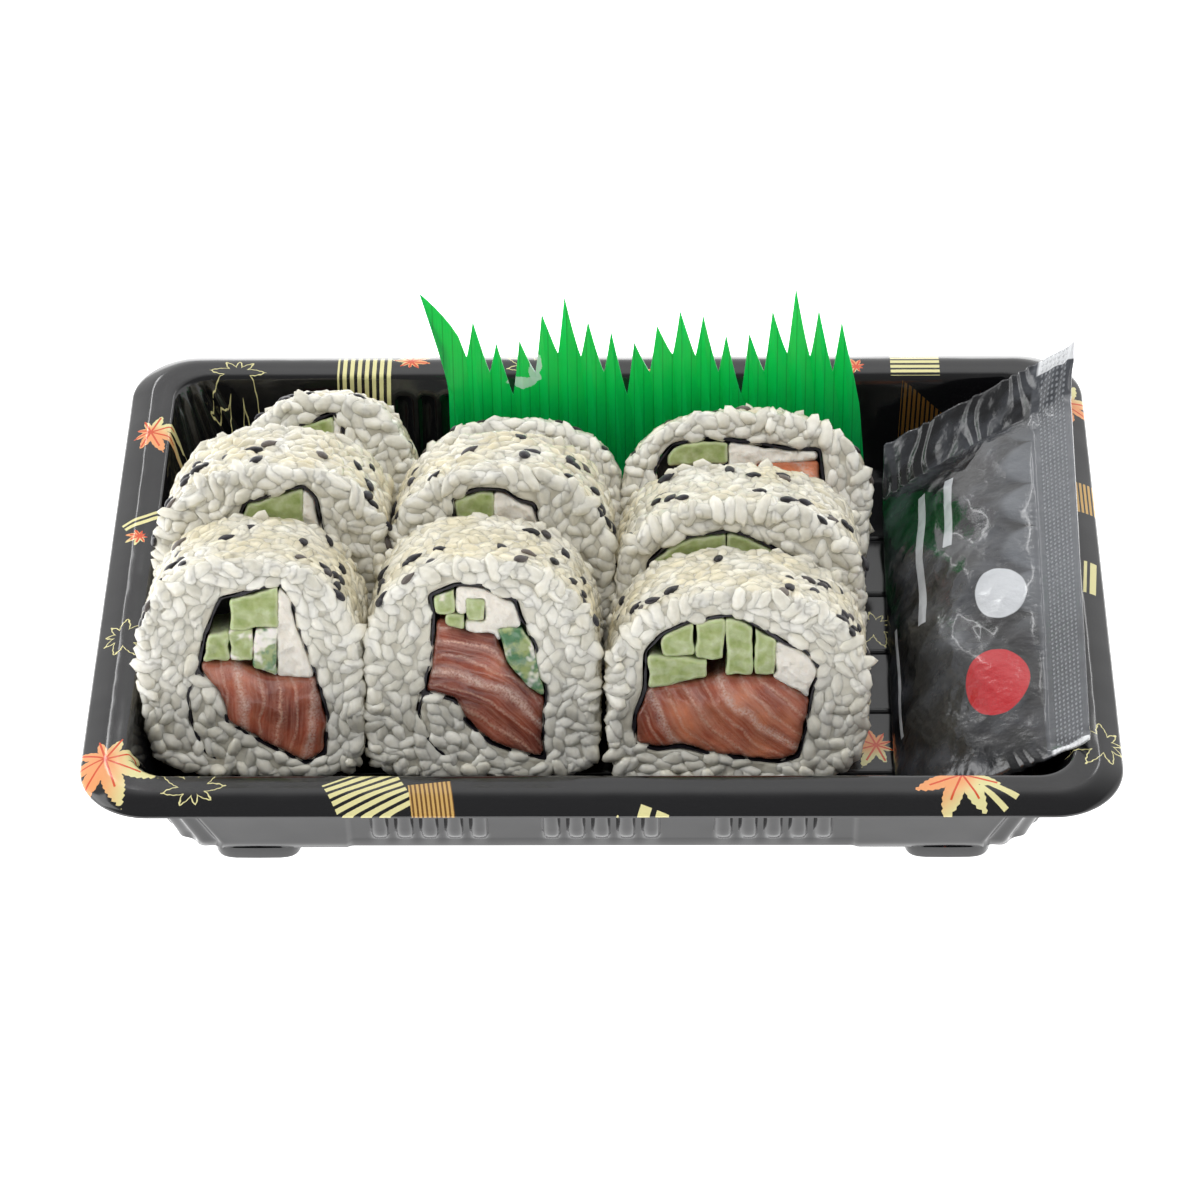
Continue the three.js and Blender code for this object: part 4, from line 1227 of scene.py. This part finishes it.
def seed_finish():
    made, new = material(
        "black_sesame_hull", Roughness=0.38, IOR=1.46, Coat_Weight=0.2, Coat_Roughness=0.25
    )
    shade = new("Attribute", attribute_name="shade").outputs["Fac"]
    tone = coloured(new("ValToRGB", shade), (0.0, "#121115"), (1.0, "#6b625a"), (0.8, "#262329"))
    return dressed(made, tone, new("TexNoise", millimetres(new), 2.2, 3.0), 0.6, 0.0002)


seeds = mesh_object(
    "sesame_seeds", spots[:, :3], [], None, lean=spots[:, 3:6], turn=spots[:, 6],
    size=spots[:, 7], shade=spots[:, 8],
)
grown(seeds, seed_tree(), Length=3.4 * MM, Finish=seed_finish())
seeds.data.polygons.foreach_set("use_smooth", [True] * len(seeds.data.polygons))
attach(seeds, "root")
print("sesame:", len(seeds.data.polygons), "faces")

# %% [markdown]
# ## The grass divider
# The divider is a strip of green plastic film, stamped in narrow upright pleats and cut into
# blades of uneven height. The folds are straight and sharp, so it is a sheet of columns whose
# depth goes to and fro, and its top runs up and down from tip to cut.

# %% The sheet of blades
LEFT, RIGHT, FOOT_Y, LEAN, PLEAT_DEPTH, BODY = -30.5, 51, 45.7, 0.07, 0.45, 25
BLADE, FIRST_TIP, END = 4.42, -29.8, (RIGHT - 3.5, 34.5)
TIPS = (51.4, 45.4, 40.7, 40.8, 47.1, 51.4, 45.1, 43.1, 40.8, 44.1, 47.7, 47.1, 42, 42.5, 48.1,
        52.6, 47.9, 45.6)
VALLEYS = (36.6, 33, 27.7, 33, 37.2)


def blade_tops():
    """The corners of the cut edge: tip, valley, tip and so on."""
    tops = [(LEFT, mix(TIPS[0], BODY, 0.5))]
    for i, tip in enumerate(TIPS):
        tops.append((FIRST_TIP + i * BLADE - (5.6 if i == 0 else 0), tip))
        if i < len(TIPS) - 1:
            tops.append((FIRST_TIP + (i + 0.67) * BLADE, VALLEYS[i % 5]))
    return np.array(tops + [END])


def divider_surface(side, thickness=0.26, fine=6, rows=14):
    """One face of the pleated film, as rows of points from the foot to the tips."""
    tops = blade_tops()
    last = len(tops) - 1
    run = np.linspace(0, last, last * fine + 1)
    corner = np.minimum(run.astype(int), last - 1)
    share = run - corner
    rising = corner % 2 == 0
    pointed = np.where(rising, share, 1 - share) ** np.where(corner == 1, 0.6, 1.12)
    blend = np.where(rising, pointed, 1 - pointed)
    top_z = mix(tops[corner, 1], tops[corner + 1, 1], blend)
    top_x = mix(tops[corner, 0], tops[corner + 1, 0], share)
    foot_x = mix(LEFT, RIGHT, run / last)
    body_x = mix(foot_x, top_x, np.where(run < 2, 0.1, 0.5))
    wave = PLEAT_DEPTH * (2 * np.abs((run / 2) % 1 - 0.5) * 2 - 1)
    points = []
    for height in np.linspace(0, 1, rows):
        low = height < 0.5
        x = mix(foot_x, body_x, height * 2) if low else mix(body_x, top_x, height * 2 - 1)
        z = mix(REST, BODY, height * 2) if low else mix(BODY, top_z, height * 2 - 1)
        curl = 0.5 * np.sin(2.1 * run) * ramp(z, 30, 46)
        y = FOOT_Y + LEAN * (z - REST) + wave + curl + side * thickness / 2
        points.append(np.column_stack([x, y, np.full(len(x), z) if low else z]))
    return np.array(points)


def slab(front, back):
    """A thin closed body between two grids of points."""
    rows, columns = front.shape[:2]
    at = np.arange(rows * columns).reshape(rows, columns)
    quads = np.stack([at[:-1, :-1], at[:-1, 1:], at[1:, 1:], at[1:, :-1]], -1).reshape(-1, 4)
    behind = quads[:, ::-1] + rows * columns
    border = [*at[0, :-1], *at[:-1, -1], *at[-1, :0:-1], *at[:0:-1, 0]]
    size = len(border)
    edge = [
        [border[(i + 1) % size], border[i], border[i] + rows * columns,
         border[(i + 1) % size] + rows * columns]
        for i in range(size)
    ]
    points = np.concatenate([front.reshape(-1, 3), back.reshape(-1, 3)])
    return points, quads.tolist() + behind.tolist() + edge


blades = slab(divider_surface(-1), divider_surface(1))
print("blades:", len(TIPS), "with", len(blades[0]), "points")

# %% [markdown]
# The film is tinted polyethylene, matt and a little see-through, so light that enters it glows
# green. Its colour is painted a little darker low down and in thin dark lines along its folds,
# both painted shade, and it has two pale patches.

# %% Green film
PALE_PATCHES = [((-16.2, 47.6, 31.2), (3.4, 9, 1.6)), ((-13.6, 48, 34.6), (1.6, 9, 4.2))]  # middle, reach


def divider_finish():
    made, new = material(
        "green_polyethylene_film", Roughness=0.34, IOR=1.51, Subsurface_Weight=0.35,
        Subsurface_Scale=0.002, Subsurface_Radius=(0.2, 1.0, 0.4), Coat_Weight=0.15,
        Coat_Roughness=0.2,
    )
    place = millimetres(new)
    x, _, z = new("SeparateXYZ", place).outputs
    cloud = new("TexNoise", place, 0.12, 2.0)
    # painted shade: the green is painted a little darker low down and lighter towards the tips
    high = new("Math MULTIPLY_ADD", cloud, 0.3, new("MapRange", z, 20.0, 44.0), use_clamp=True)
    tone = new("Mix RGBA", high, "#00be62", "#06c85a")
    # painted shade: a thin dark line along every fold of the pleats
    fold_shade = new("MapRange SMOOTHSTEP", new("Math PINGPONG", x, 0.92), 0.16, 0.0, To_Max=0.6)
    tone = new("Mix RGBA", fold_shade, tone, "#00642c")
    # two pale patches with ragged edges, at the places in the table
    patch_noise = new("TexNoise", place, 0.55, 3.0)
    for middle, reach in PALE_PATCHES:
        away = new("VectorMath DIVIDE", new("VectorMath SUBTRACT", place, middle), reach)
        patch = new("Math SUBTRACT", patch_noise, new("VectorMath LENGTH", away))
        patch = new("MapRange SMOOTHSTEP", patch, -0.38, -0.26, To_Max=0.85)
        tone = new("Mix RGBA", patch, tone, "#d9e6dc")
    return dressed(made, tone, new("Math PINGPONG", x, 0.275), 0.25, 0.0002)


grass = mesh_object("grass_divider_film", *blades, divider_finish())
finished(smooth(facing_out(grass), sharp=25), "grass_divider")
print("divider:", len(grass.data.polygons), "faces")

# %% [markdown]
# ## The soy sauce sachet
# Film is folded round the sauce and welded down the right side and at both ends. The filled part
# swells, the film creases in front of every weld, and the back weld is folded up against the rim.
# It could be cloth under pressure, but its edges are known, so its surface is worked out between
# them and creased by waves and noise.

# %% The film
LOBE = 12.5  # the film swells in lobes of this length beside its long weld
TOP_BULGE, UNDER_BULGE, HALF_FILM = 6.5, 3.4, 0.22
SEAL, CREASE = 0.2, 0.9  # shares of the width and the length: the long weld, and the fold
FILM_WIDTH, FILM_LENGTH = 40, 106
LEFT_EDGE = np.array([[53.4, -50.5, 5.4], [53.8, 38.5, 8.6], [54.2, 46.2, 16]])
RIGHT_EDGE = np.array([[87, -50.5, 27], [89.6, 44, 30.6], [90.8, 53.6, 35.6]])
ACROSS, ALONG = 130, 250


def edge_points(edge, share):
    """Points along an edge, which turns at the fold."""
    folded = np.clip((share - CREASE) / (1 - CREASE), 0, 1)[:, None]
    straight = np.clip(share / CREASE, 0, 1)[:, None]
    return edge[0] + (edge[1] - edge[0]) * straight + (edge[2] - edge[1]) * folded


def sachet_surface(bulge, lift):
    """One side of the swollen film, and the flat place of each of its points on the film."""
    u, v = np.linspace(0, 1, ACROSS), np.linspace(0, 1, ALONG)
    left, right = edge_points(LEFT_EDGE, v), edge_points(RIGHT_EDGE, v)
    middle = left[:, None] + (right - left)[:, None] * u[None, :, None]
    slope = np.arctan2(right[:, 2] - left[:, 2], right[:, 0] - left[:, 0])[:, None]
    full = (
        np.clip(np.sin(np.pi * np.minimum(u / (1 - SEAL), 1)), 0, 1) ** 0.7
        * np.clip(np.sin(np.pi * np.minimum(v / CREASE, 1)), 0, 1)[:, None] ** 0.45
    )
    wave = 0.5 * np.sin(28.1 * v[:, None] + 13.6 * u[None]) if bulge > 0 else 0
    grid = np.stack(np.broadcast_arrays(u[None] * FILM_WIDTH, v[:, None] * FILM_LENGTH, 0.0), -1)
    grid = grid.reshape(-1, 3)
    soft = wobble(grid * (1, 0.6, 1), 7, 1).reshape(full.shape)
    sharp = 1 - np.abs(wobble(grid * (1, 0.55, 1), 3.4, 5).reshape(full.shape)) * 2
    welded = np.maximum(ramp(v, CREASE - 0.06, CREASE)[:, None], ramp(1 - v, 0.94, 1)[:, None])
    puckers = np.sin(u[None] * 60 + 11 * soft) * welded
    lobes = np.abs(np.cos(np.pi * v * FILM_LENGTH / LOBE))[:, None] ** 3 * ramp(u, 0.6, 0.76)[None]
    creases = 0.5 * soft * full + 0.16 * sharp * ramp(full, 0.05, 0.6) + 0.2 * puckers
    creases -= 0.9 * lobes * full
    out = (bulge + wave) * full + creases + lift
    return np.stack([
        middle[..., 0] - out * np.sin(slope), middle[..., 1], middle[..., 2] + out * np.cos(slope)
    ], -1), grid


def sachet():
    top, grid = sachet_surface(TOP_BULGE, HALF_FILM)
    under, _ = sachet_surface(-UNDER_BULGE, -HALF_FILM)
    points, faces = slab(top, under)
    return mesh_object("soy_sauce_sachet", points, faces, None, film=np.concatenate([grid, grid]))


pouch = facing_out(sachet())
print("sachet:", len(pouch.data.polygons), "faces")

# %% [markdown]
# The film is polyester printed black on its inside, so the gloss lies over the print. Its print
# here is plain: a red disc, a pale disc and some pale bars. The weld is embossed with rows of
# small dots, and the ends are left without print. All of it is laid out in the film's own
# coordinates, millimetres across and along, which the mesh carries.

# %% Printed film
def film_finish():
    made, new = material(
        "printed_polyester_film", Roughness=0.2, IOR=1.57, Coat_Weight=0.6, Coat_Roughness=0.08
    )
    film = new("Attribute", attribute_name="film").outputs["Vector"]
    across, along, _ = new("SeparateXYZ", film).outputs
    cloud = new("TexNoise", film, 0.09, 3.0)
    # painted reflection: pale grey clouds over the black stand for the grey sheen mirrored in the
    # glossy film
    painted_sheen = new("MapRange", cloud, 0.45, 0.75)
    tone = new("Mix RGBA", painted_sheen, "#17181a", "#50535a")

    def between(value, low, high, soft):
        """1 where a value lies between two numbers."""
        rise = new("MapRange", value, low - soft, low + soft)
        fall = new("MapRange", value, high + soft, high - soft)
        return new("Math MULTIPLY", rise, fall)

    def disc(x, y, radius, stretch, soft=0.08):
        away = new("VectorMath SUBTRACT", film, (x, y, 0))
        away = new("VectorMath LENGTH", new("VectorMath MULTIPLY", away, (1, 1 / stretch, 0)))
        return new("MapRange", away, radius + soft, radius - soft)

    lobe = new("Math SINE", new("Math MULTIPLY", along, math.pi / LOBE))
    lobe = new("Math POWER", new("Math ABSOLUTE", lobe), 0.5)
    lobe = new("Math MULTIPLY_ADD", lobe, 5.5, across)
    lobe = new("MapRange SMOOTHSTEP", lobe, 31.0, 33.5)
    lobe = new("Math MULTIPLY", lobe, between(along, 36, 92, 5))
    dots = new("VectorMath MULTIPLY", film, (1 / 0.82, 1 / 1.15, 0))
    dots = new("TexVoronoi F1", dots, 1.0, Randomness=0.0)
    dots = new("MapRange SMOOTHSTEP", dots, 0.42, 0.15)
    welded = new("Math MULTIPLY", dots, between(across, 33.2, 39, 0.2))
    bars = [
        new("Math MULTIPLY", between(across, x, x + width, 0.06), between(along, low, high, 0.05))
        for x, width, low, high in ((9.5, 1.7, 44, 84), (15.5, 1.7, 62, 84), (3.0, 0.8, 20, 50))
    ]
    bare = between(across, 32.6, 99, 0.3)
    ends = [
        new("Math MULTIPLY", bare, between(along, low, high, 0.1))
        for low, high in ((102.8, 200), (-9, 1.1))
    ]
    for factor, colour, strength in (
        (lobe, "#74787e", 0.55), (disc(24, 21, 5.7, 1.4), "#b9131f", 1.0),
        (disc(25.8, 44, 4.3, 1.6), "#c3c6ca", 1.0), *((bar, "#b4b7bb", 1.0) for bar in bars),
        (between(across, 31.6, 99, 0.25), "#55585e", 0.62), (welded, "#a4a8ae", 0.55),
        *((end, "#dfe1e4", 1.0) for end in ends),
    ):
        factor = new("Math MULTIPLY", factor, strength, use_clamp=True)
        tone = new("Mix RGBA", factor, tone, colour)

    crinkle = new("TexNoise", film, 0.35, 4.0)
    folded = between(along, 94, 200, 1.5)
    crumple = new("TexNoise", film, 0.3, 3.0, noise_type="RIDGED_MULTIFRACTAL")
    crumple = new("Math MULTIPLY", crumple, folded)
    height = new("Math MULTIPLY_ADD", welded, 0.5, crinkle)
    height = new("Math MULTIPLY_ADD", crumple, 0.8, height)
    return dressed(made, tone, height, 0.7, 0.0006)


pouch.data.materials.append(film_finish())
finished(pouch, "soy_sachet")
print("film:", pouch.data.materials[0].name)

# %% [markdown]
# ## The print of the tray
# The sheet is printed before it is formed: maple leaves, leaf outlines and blocks of stripes, in
# gold, cream and orange on black. Two small node groups draw them. A leaf is a circle whose
# radius falls between its lobes, worked out from the angle round its middle, and a block is a
# turned rectangle cut into stripes.

# %% Leaf and stripe groups
def print_group(name, inputs, outputs):
    """A group that starts with a place on the sheet, moved and turned to lie round its middle."""
    tree, new, start = group(name, "Shader", "Place Middle Turn " + inputs, outputs)
    away = new("VectorMath SUBTRACT", start["Place"], start["Middle"])
    away = new("VectorMath MULTIPLY", away, (1, 1, 0))
    turned = new("VectorRotate", Vector=away, Angle=start["Turn"], rotation_type="Z_AXIS")
    return tree, new, start, turned, *new("SeparateXYZ", turned).outputs[:2]


LOBES = 7


def leaf_group():
    tree, new, start, turned, x, y = print_group(
        "maple_leaf", "Radius Line", "Inside Outline Veins Side"
    )
    far = new("VectorMath LENGTH", turned).outputs["Value"]
    angle = new("Math ARCTAN2", y, x)
    lobe = new("Math PINGPONG", new("Math MULTIPLY", angle, (LOBES + 1) / math.pi), 1.0)
    notch = new("Math MULTIPLY_ADD", lobe, -0.56, 1.0)
    reach = new("Math MULTIPLY_ADD", new("Math COSINE", angle), 0.3, 0.7)
    teeth = new("Math PINGPONG", new("Math MULTIPLY", far, 1.9), 1.0)
    teeth = new("Math MULTIPLY_ADD", teeth, 0.08, 0.94)
    for factor in (reach, teeth, start["Radius"]):
        notch = new("Math MULTIPLY", notch, factor)
    edge = new("Math SUBTRACT", notch, far)
    inside = new("Math GREATER_THAN", edge, 0.0)
    outline = new("Math LESS_THAN", new("Math ABSOLUTE", edge), start["Line"])
    off_vein = new("Math MULTIPLY", lobe, new("Math MULTIPLY", far, math.pi / (LOBES + 1)))
    inner = new("Math LESS_THAN", far, new("Math MULTIPLY", start["Radius"], 0.62))
    vein = new("Math LESS_THAN", off_vein, 0.2)
    for factor in (inside, inner):
        vein = new("Math MULTIPLY", vein, factor)
    side = new("Math DIVIDE", new("Math MULTIPLY_ADD", y, 1.6, far), start["Radius"])
    side = new("MapRange SMOOTHSTEP", side, 0.1, 1.1)
    new("NodeGroupOutput", Inside=inside, Outline=outline, Veins=vein, Side=side)
    return tree


def stripe_group():
    tree, new, start, turned, x, _ = print_group(
        "stripe_block", "Half Pitch Share", "Inside Stripes"
    )
    room = new("VectorMath SUBTRACT", start["Half"], new("VectorMath ABSOLUTE", turned))
    least = new("Math MINIMUM", *new("SeparateXYZ", room).outputs[:2])
    inside = new("Math GREATER_THAN", least, 0.0)
    run = new("Math FRACT", new("Math DIVIDE", x, start["Pitch"]))
    stripes = new("Math MULTIPLY", new("Math LESS_THAN", run, start["Share"]), inside)
    new("NodeGroupOutput", Inside=inside, Stripes=stripes)
    return tree


LEAF, STRIPES = leaf_group(), stripe_group()
print("print groups:", len(LEAF.nodes), "and", len(STRIPES.nodes), "nodes")

# %% [markdown]
# The tray's shader is black polystyrene: smooth from the mould, a little wavy where the hot sheet
# was stretched. The print only lies on the upper side of the sheet, where its normal looks up.

# %% Black polystyrene with its print
BLACK, CREAM_INK, GOLD_INK = "#131315", "#ddd69a", "#c9a15a"
BROWN_INK, ORANGE_INK, RED_INK = "#6b4a22", "#e79b62", "#cf4a22"
LEAVES = [  # middle, radius, turn in degrees, whether it is only an outline
    ((-88.3, -53), 12, 72, False), ((64, -57.3), 10.5, 110, False), ((-88, 40), 7.5, 20, False),
    ((-87.5, 8.8), 3.2, 150, False), ((50.5, -26), 7.4, 160, False), ((-38.5, 62), 5.4, -80, False),
    ((49, 60), 3.6, 200, False), ((-72, -61), 8.0, -100, True), ((-88.5, -20), 7.2, 10, True),
    ((90, -49), 7.4, 170, True), ((-72.5, 59), 7.8, 95, True), ((51.5, 8), 7.4, 120, True),
    ((-15, 60), 6.5, -95, True), ((12, 58.5), 7.2, 95, False), ((88.5, 48), 8.0, -20, False),
]
BLOCKS = [  # middle, half size, turn in degrees, stripe pitch, share that is inked, ink
    ((-41, -62), (5.5, 6.5), 63, 1.5, 0.6, CREAM_INK),
    ((-29.7, -63.8), (3.8, 4.4), -8, 9, 1.0, BROWN_INK),
    ((-29.7, -63.8), (3.8, 4.4), -8, 0.8, 0.55, GOLD_INK),
    ((-47.5, 57.5), (5.4, 6.2), 0, 1.45, 0.55, CREAM_INK),
    ((60.5, 62), (4.6, 4.8), 90, 1.5, 0.6, CREAM_INK), ((62, 52), (5, 4), 12, 0.9, 0.6, BROWN_INK),
    ((91, 20), (2.2, 4.4), 0, 0.8, 0.6, GOLD_INK), ((90.4, -3.4), (1.2, 4.6), 5, 3, 0.8, CREAM_INK),
    ((-87.5, 13.2), (1.3, 3.6), 62, 1.5, 0.6, CREAM_INK),
    ((9.5, -66.6), (3, 1.6), 20, 3.2, 0.7, CREAM_INK),
    ((2.8, -67.6), (1.2, 1.4), 50, 3, 0.9, CREAM_INK),
    ((70.6, -60.8), (3.6, 0.6), 35, 9, 1.0, CREAM_INK),
    ((69.2, -62.6), (3.4, 0.55), 48, 9, 1.0, CREAM_INK),
]


def tray_finish():
    made, new = material(
        "formed_black_polystyrene", Roughness=0.13, IOR=1.59, Coat_Weight=0.25, Coat_Roughness=0.05
    )
    place = millimetres(new)
    tone = new("RGB")
    tone.outputs[0].default_value = linear(BLACK)
    for (x, y), (half_x, half_y), turn, pitch, share, ink in BLOCKS:
        block = new(
            "Group", node_tree=STRIPES, Place=place, Middle=(x, y, 0), Turn=math.radians(turn),
            Half=(half_x, half_y, 9), Pitch=pitch, Share=share,
        )
        tone = new("Mix RGBA", block.outputs["Stripes"], tone, ink)
    for (x, y), radius, turn, only_outline in LEAVES:
        leaf = new(
            "Group", node_tree=LEAF, Place=place, Middle=(x, y, 0), Turn=math.radians(turn),
            Radius=radius, Line=0.22,
        ).outputs
        if only_outline:
            tone = new("Mix RGBA", leaf["Outline"], tone, CREAM_INK)
        else:
            fill = new("Mix RGBA", leaf["Side"], ORANGE_INK, CREAM_INK)
            tone = new("Mix RGBA", leaf["Inside"], tone, fill)
            tone = new("Mix RGBA", leaf["Veins"], tone, RED_INK)
    upward = new("SeparateXYZ", new("NewGeometry").outputs["Normal"]).outputs["Z"]
    tone = new("Mix RGBA", new("Math GREATER_THAN", upward, 0.04), BLACK, tone)
    waves = new("TexNoise", place, 0.05, 2.0)
    return dressed(made, tone, waves, 0.35, 0.002)


tray.data.materials.clear()
tray.data.materials.append(tray_finish())
finished(tray, "tray")
print("tray finish:", tray.data.materials[0].name)

# %% [markdown]
# ## The floor and the end
# The tray stands on a plain white floor.

# %% Floor
SPREAD = 3000
white, _ = material(
    "white_floor", Roughness=0.8, Base_Color=linear("#f7f7f7"), Emission_Color=linear("#ffffff"),
    Emission_Strength=1.35,
)
corners = [(x * SPREAD, y * SPREAD, -0.05) for x, y in ((-1, -1), (1, -1), (1, 1), (-1, 1))]
floor = mesh_object("studio_floor", corners, [(0, 1, 2, 3)], white)
